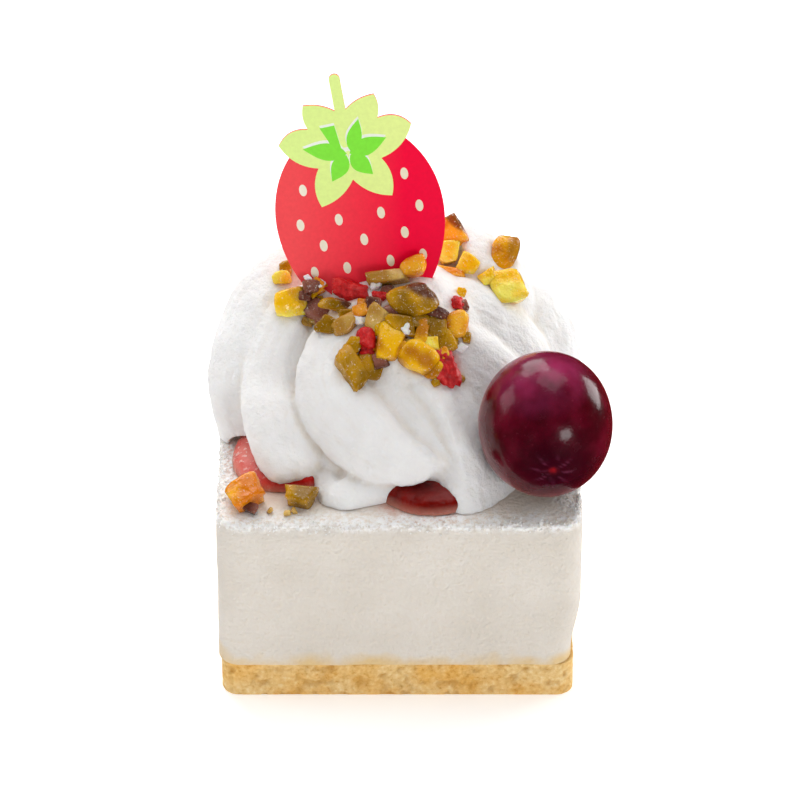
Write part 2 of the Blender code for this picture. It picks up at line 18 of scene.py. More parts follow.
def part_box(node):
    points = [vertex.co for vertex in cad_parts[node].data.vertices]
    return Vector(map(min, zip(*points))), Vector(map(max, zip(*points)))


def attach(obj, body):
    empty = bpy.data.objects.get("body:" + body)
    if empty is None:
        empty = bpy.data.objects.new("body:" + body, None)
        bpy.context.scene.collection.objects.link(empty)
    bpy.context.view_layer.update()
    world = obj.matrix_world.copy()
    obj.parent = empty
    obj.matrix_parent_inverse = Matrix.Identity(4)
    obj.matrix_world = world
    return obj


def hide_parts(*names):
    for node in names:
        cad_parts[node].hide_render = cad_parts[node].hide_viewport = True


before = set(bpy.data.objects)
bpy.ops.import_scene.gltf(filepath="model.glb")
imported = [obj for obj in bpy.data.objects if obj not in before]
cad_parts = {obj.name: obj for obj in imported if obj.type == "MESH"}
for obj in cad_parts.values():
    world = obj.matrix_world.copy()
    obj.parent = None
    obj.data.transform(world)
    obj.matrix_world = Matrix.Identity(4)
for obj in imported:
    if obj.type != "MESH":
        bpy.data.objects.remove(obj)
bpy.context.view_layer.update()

MM = 0.001
TOUCH = 0.06                    # clearance left between neighbouring visible surfaces
log = logging.getLogger("berry_cake")
Array = np.ndarray


def node_box(node: str) -> tuple[Array, Array]:
    """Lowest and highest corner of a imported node, in millimetres."""
    low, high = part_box(node)
    return np.array(low) / MM, np.array(high) / MM


MOUSSE_LOW, MOUSSE_TALL = node_box("mousse_block")
SPONGE_LOW, SPONGE_TALL = node_box("sponge_base")
TOP = float(MOUSSE_TALL[2])     # the mousse's top, on which the rest lies


# ---- numbers to shapes

def rough(points: Array, size: float, seed: int, layers: int = 3) -> Array:
    """Smooth random field: lattice values blended by the cubic 3f^2 - 2f^3, each finer layer half as strong.

    Args:
        points: places, (n, 3).
        size: lattice spacing of the coarsest layer, mm.
        seed: number that picks the field.
        layers: how many layers, each of half the spacing.
    Returns:
        Values from about -1 to 1, (n,).
    """
    total, weight, whole = np.zeros(len(points)), 1.0, 0.0
    for layer in range(layers):
        place = points / size * 2 ** layer + 13.7 * seed + 31.1 * layer
        cell = np.floor(place).astype(np.int64)
        part = place - cell
        part = part * part * (3 - 2 * part)
        value = np.zeros(len(points))
        for corner in np.ndindex(2, 2, 2):
            key = cell + corner
            mixed = key[:, 0] * 73856093 ^ key[:, 1] * 19349663 ^ key[:, 2] * 83492791 ^ (seed * 7919)
            mixed = (mixed ^ (mixed >> 13)) * 1274126177 & 0x7FFFFFFF
            mixed = (mixed ^ (mixed >> 16)) & 0xFFFF
            share = np.prod(np.where(np.array(corner) == 1, part, 1 - part), axis=1)
            value += share * (mixed / 32767.5 - 1)
        total += weight * value
        whole += weight
        weight *= 0.5
    return total / whole * 1.6


def curve_through(stations: tuple, share: Array) -> Array:
    """Catmull-Rom curve through stations.

    Args:
        stations: numbers or places that it runs through.
        share: where it is read, from 0 to 1 of its spans.
    Returns:
        One row for each share.
    """
    p = np.array(stations, float).reshape(len(stations), -1)
    p = np.vstack([2 * p[0] - p[1], p, 2 * p[-1] - p[-2]])
    spans = len(p) - 3
    x = np.clip(share, 0, 1) * spans
    i = np.minimum(x.astype(int), spans - 1)
    f = (x - i)[:, None]
    a, b, c, d = p[i], p[i + 1], p[i + 2], p[i + 3]
    bend = (2 * a - 5 * b + 4 * c - d) * f ** 2 + (3 * b - a - 3 * c + d) * f ** 3
    return 0.5 * (2 * b + (c - a) * f + bend)


def ring_quads(rings: int, around: int) -> Array:
    """Quads between successive closed rings of a grid.

    Args:
        rings: how many rings.
        around: points in each.
    Returns:
        Vertex numbers, (quads, 4).
    """
    i, j = np.meshgrid(np.arange(rings - 1), np.arange(around), indexing="ij")
    k = (j + 1) % around
    return np.stack([i * around + j, i * around + k, (i + 1) * around + k, (i + 1) * around + j], -1).reshape(-1, 4)


def linked(name: str, data: bpy.types.ID) -> bpy.types.Object:
    """New object in the scene.

    Args:
        name: the object's name.
        data: its mesh, lamp or camera.
    Returns:
        The object.
    """
    obj = bpy.data.objects.new(name, data)
    bpy.context.scene.collection.objects.link(obj)
    return obj


def ways(tilt: Array, turn: Array) -> Array:
    """Unit directions (sin tilt cos turn, sin tilt sin turn, cos tilt), one row for each pair."""
    return np.stack([np.sin(tilt)[:, None] * np.cos(turn), np.sin(tilt)[:, None] * np.sin(turn),
                     np.cos(tilt)[:, None] + 0 * turn], -1).reshape(-1, 3)


def full_turn(count: int) -> Array:
    """Angles of a full turn, without its end."""
    return np.linspace(0, 2 * math.pi, count, endpoint=False)


def make_mesh(name: str, points: Array, quads: Array, extra: list | None = None) -> bpy.types.Object:
    """Object from points in mm and faces, smooth, its faces turned outwards.

    Args:
        name: the piece's name.
        points: vertices, (n, 3).
        quads: faces of one length, (m, 3 or 4).
        extra: more faces of any length.
    Returns:
        The linked object.
    """
    mesh = bpy.data.meshes.new(name)
    faces = np.asarray(quads, int).tolist() + (extra or [])
    mesh.from_pydata((np.asarray(points, float) * MM).tolist(), [], faces)
    shell = bmesh.new()
    shell.from_mesh(mesh)
    bmesh.ops.recalc_face_normals(shell, faces=shell.faces)
    shell.to_mesh(mesh)
    shell.free()
    mesh.shade_smooth()
    return linked(name, mesh)


def capped(name: str, rings: Array) -> bpy.types.Object:
    """Closed tube from rings of points, with a face over either end.

    Args:
        name: the object's name.
        rings: points, (rings, around, 3).
    Returns:
        The linked object.
    """
    count, around = rings.shape[:2]
    ends = [list(range(around))[::-1], [(count - 1) * around + j for j in range(around)]]
    return make_mesh(name, rings.reshape(-1, 3), ring_quads(count, around), ends)


def coords(obj: bpy.types.Object) -> Array:
    """Vertex places of an object.

    Args:
        obj: the object.
    Returns:
        Places in mm, (n, 3).
    """
    flat = np.empty(len(obj.data.vertices) * 3)
    obj.data.vertices.foreach_get("co", flat)
    return flat.reshape(-1, 3) / MM


def normals(obj: bpy.types.Object) -> Array:
    """Vertex normals of an object.

    Args:
        obj: the object.
    Returns:
        Unit normals, (n, 3).
    """
    flat = np.empty(len(obj.data.vertices) * 3)
    obj.data.vertices.foreach_get("normal", flat)
    return flat.reshape(-1, 3)


def place(obj: bpy.types.Object, points: Array) -> None:
    """Put an object's vertices at places in mm."""
    obj.data.vertices.foreach_set("co", (points * MM).ravel())
    obj.data.update()


def mark(obj: bpy.types.Object, name: str, values: Array) -> None:
    """Store one number for each vertex, for the material to read."""
    layer = obj.data.attributes.new(name, "FLOAT", "POINT")
    layer.data.foreach_set("value", np.asarray(values, np.float32))


def apply_modifiers(obj: bpy.types.Object) -> None:
    """Make an object's modifiers part of its mesh.

    Args:
        obj: the object.
    """
    bpy.context.view_layer.update()
    solved = obj.evaluated_get(bpy.context.evaluated_depsgraph_get())
    mesh = bpy.data.meshes.new_from_object(solved)
    obj.modifiers.clear()
    obj.data = mesh
    mesh.name = obj.name


def join(name: str, parts: list[bpy.types.Object]) -> bpy.types.Object:
    """One object from several, which are removed.

    Args:
        name: the new object's name.
        parts: what it is made of.
    Returns:
        The linked object.
    """
    whole = bmesh.new()
    for part in parts:
        whole.from_mesh(part.data)
    mesh = bpy.data.meshes.new(name)
    whole.to_mesh(mesh)
    whole.free()
    mesh.shade_smooth()
    for part in parts:
        bpy.data.objects.remove(part, do_unlink=True)
    return linked(name, mesh)


def melt(obj: bpy.types.Object, voxel: float, rounds: int, strength: float) -> None:
    """Fuse an object's overlapping shells into one skin of even quads and soften it.

    Args:
        obj: the object.
        voxel: the quads' size, mm.
        rounds: how often each point moves towards its neighbours.
        strength: how far it moves, from 0 to 1.
    """
    remesh = obj.modifiers.new("skin", "REMESH")
    remesh.mode = "VOXEL"
    remesh.voxel_size = voxel * MM
    soften = obj.modifiers.new("soften", "SMOOTH")
    soften.factor = strength
    soften.iterations = rounds
    apply_modifiers(obj)
    obj.data.shade_smooth()


def cut(obj: bpy.types.Object, cutter: bpy.types.Object) -> None:
    """Take a cutter's volume away from an object, and remove the cutter.

    Args:
        obj: the object.
        cutter: a closed mesh.
    """
    difference = obj.modifiers.new("cut", "BOOLEAN")
    difference.operation = "DIFFERENCE"
    difference.object = cutter
    difference.solver = "MANIFOLD"
    apply_modifiers(obj)
    bpy.data.objects.remove(cutter, do_unlink=True)


# ---- finishes

BLACK, WHITE = "#000000", "#FFFFFF"
Stops = tuple[tuple[float, str], ...]


def linear(code: str) -> tuple[float, float, float, float]:
    """sRGB hex colour as linear RGBA."""
    parts = [int(code[i:i + 2], 16) / 255 for i in (1, 3, 5)]
    return (*[c / 12.92 if c <= 0.04045 else ((c + 0.055) / 1.055) ** 2.4 for c in parts], 1.0)


def add_node(tree: bpy.types.NodeTree, kind: str, settings: dict | None = None,
             links: dict | None = None) -> bpy.types.Node:
    """Add one shader node.

    Args:
        tree: the material's node tree.
        kind: the node's type, such as ShaderNodeMix.
        settings: properties by name, input values by socket name or number, where a hex colour is
            turned to linear, and for a colour ramp "stops", its (value, hex colour) pairs.
        links: for an input's name or number, the (node, output) that feeds it.
    Returns:
        The node.
    """
    node = tree.nodes.new(kind)
    for key, value in (settings or {}).items():
        if key == "stops":
            elements = node.color_ramp.elements
            while len(elements) < len(value):
                elements.new(0.5)
            for element, (at, code) in zip(elements, value):
                element.position, element.color = at, linear(code)
        elif isinstance(key, str) and hasattr(node, key):
            setattr(node, key, value)
        else:
            node.inputs[key].default_value = linear(value) if isinstance(value, str) else value
    for key, (source, output) in (links or {}).items():
        tree.links.new(source.outputs[output], node.inputs[key])
    return node


@dataclass(frozen=True)
class Recipe:
    """What a finish is made of. Its layers name each other, and sources are grains, marks, ramps and washes.

    Sockets are the shader's constant values, and glow is the depth in mm that light goes in for red,
    green and blue, with its weight. Grains are noises: their size in mm, octaves, and the share of
    the finer ones. Marks are vertex attributes. A ramp turns a source to colours, and the one named
    ground is the base colour. A wash lays its colour over the last, by the product of its sources.
    Gloss is a source, its range and the roughness at either end. Bumps are sources with depths in mm.
    """
    sockets: dict[str, float]
    glow: tuple[float, float, float, float]
    grains: dict[str, tuple[float, float, float]]
    ramps: dict[str, tuple[str, Stops]]
    marks: tuple[str, ...] = ()
    washes: dict[str, tuple[str, ...]] = field(default_factory=dict)
    gloss: tuple[str, float, float, float, float] | None = None
    bumps: dict[str, float] = field(default_factory=dict)
    shades: tuple[str, ...] = ()        # washes that multiply the colour below them


@dataclass(frozen=True)
class Finish:
    """Common ground of the finishes: a recipe made into one Principled material."""
    name: str

    def recipe(self) -> Recipe:
        """The finish's own layers."""
        raise NotImplementedError

    def make(self) -> bpy.types.Material:
        """Build the material from its recipe."""
        recipe = self.recipe()
        material = bpy.data.materials.new(self.name)
        material.use_nodes = True
        tree = material.node_tree
        shader = tree.nodes["Principled BSDF"]
        *depths, weight = recipe.glow
        furthest = max(depths)
        body = {"Subsurface Weight": weight, "Subsurface Radius": [depth / furthest for depth in depths],
                "Subsurface Scale": furthest * MM}
        for socket, value in {**recipe.sockets, **(body if weight else {})}.items():
            shader.inputs[socket].default_value = linear(value) if isinstance(value, str) else value
        self.surface(tree, shader, recipe)
        return material

    def surface(self, tree: bpy.types.NodeTree, shader: bpy.types.Node, recipe: Recipe) -> None:
        """Add the recipe's layers and feed the shader's colour, roughness and normal.

        Args:
            tree: the material's node tree.
            shader: its shader.
            recipe: the layers.
        """
        where = add_node(tree, "ShaderNodeTexCoord")
        source = {}
        for name, (size, octaves, finer) in recipe.grains.items():
            source[name] = add_node(tree, "ShaderNodeTexNoise",
                                    {"Scale": 1 / (size * MM), "Detail": octaves, "Roughness": finer},
                                    {"Vector": (where, "Object")}), "Fac"
        for name in recipe.marks:
            source[name] = add_node(tree, "ShaderNodeAttribute", {"attribute_name": name}), "Fac"
        for name, (read, stops) in recipe.ramps.items():
            source[name] = add_node(tree, "ShaderNodeValToRGB", {"stops": stops}, {"Fac": source[read]}), "Color"
        colour = source["ground"]
        for name, (code, first, *others) in recipe.washes.items():
            share = source[first]
            for other in others:
                share = add_node(tree, "ShaderNodeMath", {"operation": "MULTIPLY"},
                                 {0: share, 1: source[other]}), "Value"
            source[name] = share
            mode = "MULTIPLY" if name in recipe.shades else "MIX"
            colour = add_node(tree, "ShaderNodeMix", {"data_type": "RGBA", "blend_type": mode, 7: code},
                              {0: share, 6: colour}), 2
        tree.links.new(colour[0].outputs[colour[1]], shader.inputs["Base Color"])
        if recipe.gloss:
            read, low, high, at_low, at_high = recipe.gloss
            gloss = add_node(tree, "ShaderNodeMapRange",
                             {"From Min": low, "From Max": high, "To Min": at_low, "To Max": at_high},
                             {"Value": source[read]})
            tree.links.new(gloss.outputs["Result"], shader.inputs["Roughness"])
        below = {}
        for read, depth in recipe.bumps.items():
            bump = add_node(tree, "ShaderNodeBump", {"Strength": 1.0, "Distance": depth * MM},
                            {"Height": source[read], **below})
            below = {"Normal": (bump, "Normal")}
        for socket, feed in below.items():
            tree.links.new(feed[0].outputs[feed[1]], shader.inputs[socket])


@dataclass(frozen=True)
class WhippedCream(Finish):
    """Dairy cream whipped firm and piped: white, matte, light glows a little way into it."""
    name: str = "whipped_cream"

    def recipe(self) -> Recipe:
        """Almost even white, with painted shade that darkens and warms the creases, and syrup and juice drawn in
        beneath the bits.
        """
        return Recipe(
            sockets={"Roughness": 0.5, "IOR": 1.45, "Specular IOR Level": 0.35}, glow=(1.2, 1.02, 0.84, 0.35),
            grains={"mottle": (7.0, 3, 0.5), "soft": (2.6, 2, 0.5), "fine": (0.55, 4, 0.6)},
            marks=("hollow", "syrup", "juice"),
            ramps={"ground": ("mottle", ((0.3, "#EEECEB"), (0.7, "#F8F7F6")))},
            # the first wash is painted shade: darker and warmer in the creases
            washes={"warm": ("#E9DFD2", "hollow"), "sweet": ("#C8921C", "syrup"), "tinted": ("#D86A5A", "juice")},
            bumps={"soft": 0.35, "fine": 0.26})


@dataclass(frozen=True)
class SetMousse(Finish):
    """Set vanilla mousse, cut cold: pale and matte, with fine pores, a wetter, glossier top painted lighter to lift
    its shade, and a frosty edge.
    """
    name: str = "set_mousse"

    def recipe(self) -> Recipe:
        """Cream white with pores, a top painted lighter and warmer to lift its shade, syrup soaked up below, juice
        stains and frost above.
        """
        return Recipe(
            sockets={"Roughness": 0.6, "IOR": 1.45, "Specular IOR Level": 0.3}, glow=(1.0, 0.8, 0.6, 0.25),
            # the pores are drawn twice as wide as real ones, so that they show
            grains={"mottle": (9.0, 4, 0.5), "pores": (0.6, 2, 0.4), "grit": (0.7, 3, 0.7), "fine": (0.35, 3, 0.6)},
            marks=("wet", "soak", "stain", "frost"),
            ramps={"ground": ("mottle", ((0.3, "#D7CFC4"), (0.7, "#E0D9D0"))),
                   "spots": ("pores", ((0.56, BLACK), (0.70, WHITE))),
                   "grains": ("grit", ((0.36, "#303030"), (0.54, WHITE)))},
            # the wash over the top is painted light: a lighter, warmer top that lifts its shade
            washes={"pored": ("#DCD3C7", "spots"), "topped": ("#E8DCCE", "wet"), "soaked": ("#E0C084", "soak"),
                    "stained": ("#CB9382", "stain"), "frosted": ("#F6F5F4", "frost", "grains")},
            gloss=("wet", 0.0, 1.0, 0.6, 0.28),
            bumps={"pores": 0.28, "frosted": 0.03, "fine": 0.09})


@dataclass(frozen=True)
class SpongeCrumb(Finish):
    """Baked egg sponge, cut: golden open crumb, its pores painted a deeper brown as shade."""
    name: str = "sponge_crumb"

    def recipe(self) -> Recipe:
        """Four tones of crumb, broad darker veins, pits painted darker as shade."""
        return Recipe(
            sockets={"Roughness": 0.85, "IOR": 1.45, "Specular IOR Level": 0.2}, glow=(0.8, 0.56, 0.28, 0.15),
            grains={"crumb": (0.75, 4, 0.6), "patch": (5.0, 2, 0.5), "fine": (0.4, 3, 0.6)},
            marks=("pit",),
            ramps={"ground": ("crumb", ((0.30, "#D0A25C"), (0.42, "#E2BC7C"), (0.58, "#EBCB90"), (0.72, "#F2DAA8"))),
                   "broad": ("patch", ((0.40, BLACK), (0.70, WHITE)))},
            # painted shade: the last wash darkens the pits
            washes={"veins": ("#FBE6B8", "broad"), "pitted": ("#BE8C44", "pit")}, shades=("veins",),
            bumps={"crumb": 0.3, "fine": 0.12})


@dataclass(frozen=True)
class BerryJam(Finish):
    """Cooked berry jam, spooned on: a glistening, clear red gel, lighter where it is thin or air is stirred in, where
    pale specks are painted on as glints.
    """
    name: str = "berry_jam"

    def recipe(self) -> Recipe:
        """Deep red clots, a livelier and milkier left side, thin rims, and pale specks painted as glints on the foam.
        """
        return Recipe(
            sockets={"Roughness": 0.16, "IOR": 1.42, "Coat Weight": 0.12, "Coat Roughness": 0.06,
                     "Specular IOR Level": 0.2}, glow=(1.2, 0.24, 0.18, 0.5),
            grains={"clots": (3.0, 3, 0.5), "bubbles": (0.7, 3, 0.6)},
            marks=("ruby", "milky", "thin"),
            ramps={"ground": ("clots", ((0.3, "#560503"), (0.7, "#861008"))),
                   "froth": ("bubbles", ((0.56, BLACK), (0.66, WHITE)))},
            # the last wash paints glints: pale specks over the milky foam
            washes={"lively": ("#C21A14", "ruby"), "mixed": ("#E07C72", "milky"), "spread": ("#C98A78", "thin"),
                    "frothy": ("#F0C8C0", "milky", "froth")},
            bumps={"clots": 0.5, "bubbles": 0.25})


@dataclass(frozen=True)
class BerrySkin(Finish):
    """Taut skin of a ripe dark berry: deep red to purple under wax, soft gloss, paler dots, a fine red down."""
    name: str = "berry_skin"

    def recipe(self) -> Recipe:
        """Red clouds, a painted purple highlight haze on top, a darker front with rays and a red heart."""
        return Recipe(
            sockets={"Roughness": 0.22, "IOR": 1.45, "Coat Weight": 0.2, "Coat Roughness": 0.1,
                     "Specular IOR Level": 0.2, "Sheen Weight": 0.3, "Sheen Roughness": 0.35,
                     "Sheen Tint": "#E0303C"}, glow=(1.2, 0.18, 0.24, 0.15),
            grains={"cloud": (6.0, 4, 0.55), "dots": (0.45, 1, 0.3), "wax": (2.2, 4, 0.6)},
            marks=("bloom", "bruise", "rays", "heart"),
            ramps={"ground": ("cloud", ((0.25, "#300006"), (0.5, "#4A0410"), (0.75, "#700A24"))),
                   "dotted": ("dots", ((0.70, BLACK), (0.80, "#555555")))},
            # the first wash is a painted highlight: pale purple haze on the upward-facing skin
            washes={"bloomed": ("#A83464", "bloom"), "spotted": ("#B8566A", "dotted"),
                    "bruised": ("#2A0212", "bruise"), "rayed": ("#9A4468", "rays"), "hearted": ("#C8141C", "heart")},
            gloss=("wax", 0.3, 0.7, 0.12, 0.30),
            bumps={"wax": 0.05, "dots": 0.02})


@dataclass(frozen=True)
class NutFlesh(Finish):
    """Chopped, sugared nut or candied fruit: waxy, slightly clear flesh, brown skin on one side."""
    dark: str
    light: str
    skin: str

    def recipe(self) -> Recipe:
        """Two tones of flesh, its skin, and white specks that are partly sugar grains and partly painted glints."""
        return Recipe(
            sockets={"Roughness": 0.2, "IOR": 1.5, "Coat Weight": 0.5, "Coat Roughness": 0.05,
                     "Specular IOR Level": 0.3}, glow=(1.2, 0.72, 0.12, 0.3),
            grains={"grain": (3.6, 1, 0.4), "sugar": (0.35, 2, 0.7), "chips": (1.0, 2, 0.5)},
            marks=("skin",),
            ramps={"ground": ("grain", ((0.40, self.dark), (0.64, self.light))),
                   "glint": ("sugar", ((0.62, BLACK), (0.72, "#CCCCCC")))},
            # white specks: sugar grains and painted glints in one
            washes={"husked": (self.skin, "skin"), "sugared": ("#FFF8E6", "glint")},
            bumps={"chips": 0.35, "sugar": 0.15})


@dataclass(frozen=True)
class DriedBerry(Finish):
    """Freeze-dried red berry crumbs: rough, saturated red with paler crystals, the palest tone partly a painted
    highlight.
    """

    def recipe(self) -> Recipe:
        """Three reds over a coarse and a fine grain; the palest stands partly for crystals, partly for painted
        highlights.
        """
        return Recipe(
            sockets={"Roughness": 0.42, "IOR": 1.45, "Coat Weight": 0.2, "Coat Roughness": 0.25},
            glow=(1.0, 0.12, 0.1, 0.35),
            grains={"grain": (1.1, 4, 0.65), "fine": (0.4, 2, 0.6)},
            # palest red: partly paler crystals, partly painted highlight
            ramps={"ground": ("grain", ((0.3, "#A40008"), (0.55, "#DA1016"), (0.78, "#EE5850")))},
            bumps={"grain": 0.35, "fine": 0.15})


@dataclass(frozen=True)
class SugarFrost(Finish):
    """Ice and sugar crumbs broken off the cut edge: white, rough grains with bright facets."""
    name: str = "frost_crumbs"

    def recipe(self) -> Recipe:
        """Two whites; the facets are in the mesh."""
        return Recipe(
            sockets={"Roughness": 0.4, "IOR": 1.4}, glow=(0.5, 0.5, 0.5, 0.4),
            grains={"grain": (1.5, 2, 0.5)},
            ramps={"ground": ("grain", ((0.3, "#E9E6E1"), (0.7, "#FCFCFC")))})


class Print(Enum):
    """Fields of colour printed on the pick, lowest layer first: name, colour at the right, and the lit colour at the
    left; the grade between them is painted light.
    """
    FRUIT = ("pick_red", "#FF003C", "#FF5258")
    CALYX = ("pick_pale_green", "#EEFE9C", "#E6FE98")
    LINE = ("pick_white", "#F4F9E8", "#FAFCF2")
    LEAF = ("pick_green", "#86F040", "#8CF048")
    SEED = ("pick_ivory", "#F4E8CC", "#FAF1DC")


@dataclass(frozen=True)
class PrintedPlastic(Finish):
    """Polystyrene sheet, screen printed: colour graded across by painted light, with a soft sheen and a faint orange
    peel.
    """
    main: str
    lit: str

    def recipe(self) -> Recipe:
        """Painted light: the colour grades from the lit left to the right, with a faint speckle."""
        return Recipe(
            sockets={"Roughness": 0.45, "IOR": 1.5, "Specular IOR Level": 0.08}, glow=(1.0, 1.0, 1.0, 0.0),
            grains={"speckle": (0.6, 2, 0.5), "peel": (1.2, 2, 0.5)},
            marks=("across",),
            ramps={"ground": ("across", ((0.25, self.lit), (0.95, self.main))),
                   "flecks": ("speckle", ((0.3, WHITE), (0.7, BLACK)))},
            washes={"speckled": ("#F8F8F8", "flecks")}, shades=("speckled",),
            bumps={"peel": 0.02})


# ---- the cake's pieces

def rounded_square(side: float, corner: float, count: int) -> tuple[Array, Array]:
    """Even points round a square with round corners: straight runs joined by quarter circles.

    Args:
        side: the square's width.
        corner: the corners' radius.
        count: how many points.
    Returns:
        Points (count, 2) and outward normals (count, 2).
    """
    run, bend = side - 2 * corner, math.pi / 2 * corner
    length = 4 * (run + bend)
    s = np.arange(count) / count * length
    quarter = np.minimum((s // (run + bend)).astype(int), 3)
    t = s - quarter * (run + bend)
    angle = np.clip((t - run) / corner, 0, math.pi / 2)
    x = np.where(t < run, side / 2, side / 2 - corner + corner * np.cos(angle))
    y = np.where(t < run, t - run / 2, run / 2 + corner * np.sin(angle))
    nx, ny = np.where(t < run, 1.0, np.cos(angle)), np.where(t < run, 0.0, np.sin(angle))
    c, d = np.cos(quarter * math.pi / 2), np.sin(quarter * math.pi / 2)
    return np.stack([c * x - d * y, d * x + c * y], -1), np.stack([c * nx - d * ny, d * nx + c * ny], -1)


@dataclass
class CutBlock:
    """Square block whose surface runs up its sides and over its top and bottom in closed rings."""
    side: float
    low: float
    high: float
    corner: float
    edge: float
    count: int
    step: float
    foot: float = 0.2           # round of the lower edge

    def surface(self) -> Array:
        """Rings of the block, (rings, count, 3): a rounded square drawn in by an inset at each height.

        The inset draws the outline in along its normals, and further in than the corners' radius it
        shrinks the outline instead.
        """
        outline, outward = rounded_square(self.side, self.corner, self.count)
        half, radius, foot = self.side / 2, self.edge, self.foot
        arc = np.linspace(0, math.pi / 2, 5)
        inset_low = np.concatenate([np.linspace(half, foot, 12)[:-1], foot * (1 - np.sin(arc))])
        rise_low = np.concatenate([np.zeros(11), foot * (1 - np.cos(arc))])
        wall = np.arange(self.low + foot + self.step, self.high - radius, self.step)
        flat = np.arange(half, radius, -self.step)[::-1]
        inset = np.concatenate([inset_low, 0 * wall, radius * (1 - np.cos(arc)), flat])
        height = np.concatenate([self.low + rise_low, wall, self.high - radius + radius * np.sin(arc),
                                 np.full(len(flat), self.high)])
        soft = np.clip(inset / self.corner, 0, 1)[:, None, None]
        drawn = outline[None] - outward[None] * inset[:, None, None]
        shrunk = outline[None] * (1 - inset / half)[:, None, None]
        plan = drawn * (1 - soft) + shrunk * soft
        return np.concatenate([plan, np.broadcast_to(height[:, None, None], plan.shape[:2] + (1,))], -1)


@dataclass
class SpongeBase:
    """Thin sponge under the mousse, its cut sides open and full of pits."""
    corner: float = 2.8
    edge: float = 0.25
    step: float = 0.3
    count: int = 720
    pit_wide: float = 1.3
    pit_deep: float = 0.35
    sway_wide: float = 9.0      # the sides wander in and out
    sway: float = 0.15
    fill: float = 0.26          # rises over the gap to the mousse

    def build(self) -> bpy.types.Object:
        """Make, place and dress the sponge."""
        side = float(SPONGE_TALL[1] - SPONGE_LOW[1])
        high = float(SPONGE_TALL[2]) + self.fill
        rings = CutBlock(side, 0.0, high, self.corner, self.edge, self.count, self.step).surface()
        points = rings.reshape(-1, 3)
        points[:, 0] -= 0.5 * (side - (SPONGE_TALL[0] - SPONGE_LOW[0])) * (1 + points[:, 0] / (side / 2))
        obj = capped("sponge", points.reshape(rings.shape))
        points, out = coords(obj), normals(obj)
        pits = np.clip(rough(points, self.pit_wide, 3, 3) * 1.4 - 0.25, 0, 1)
        wall = np.clip(np.hypot(out[:, 0], out[:, 1]), 0, 1)
        sway = self.sway * rough(points * (1, 1, 0.3), self.sway_wide, 5, 2) - 0.8 * self.sway
        shift = wall * (sway - self.pit_deep * pits)
        points = points + out * shift[:, None] * (1, 1, 0.3)
        points[:, 2] = np.clip(points[:, 2], 0.0, high)
        place(obj, points)
        # painted shade: the deeper a pit in the wall, the darker it is painted
        mark(obj, "pit", pits * wall * 0.6)
        obj.data.materials.append(SpongeCrumb().make())
        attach(obj, "root")
        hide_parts("sponge_base")
        return obj


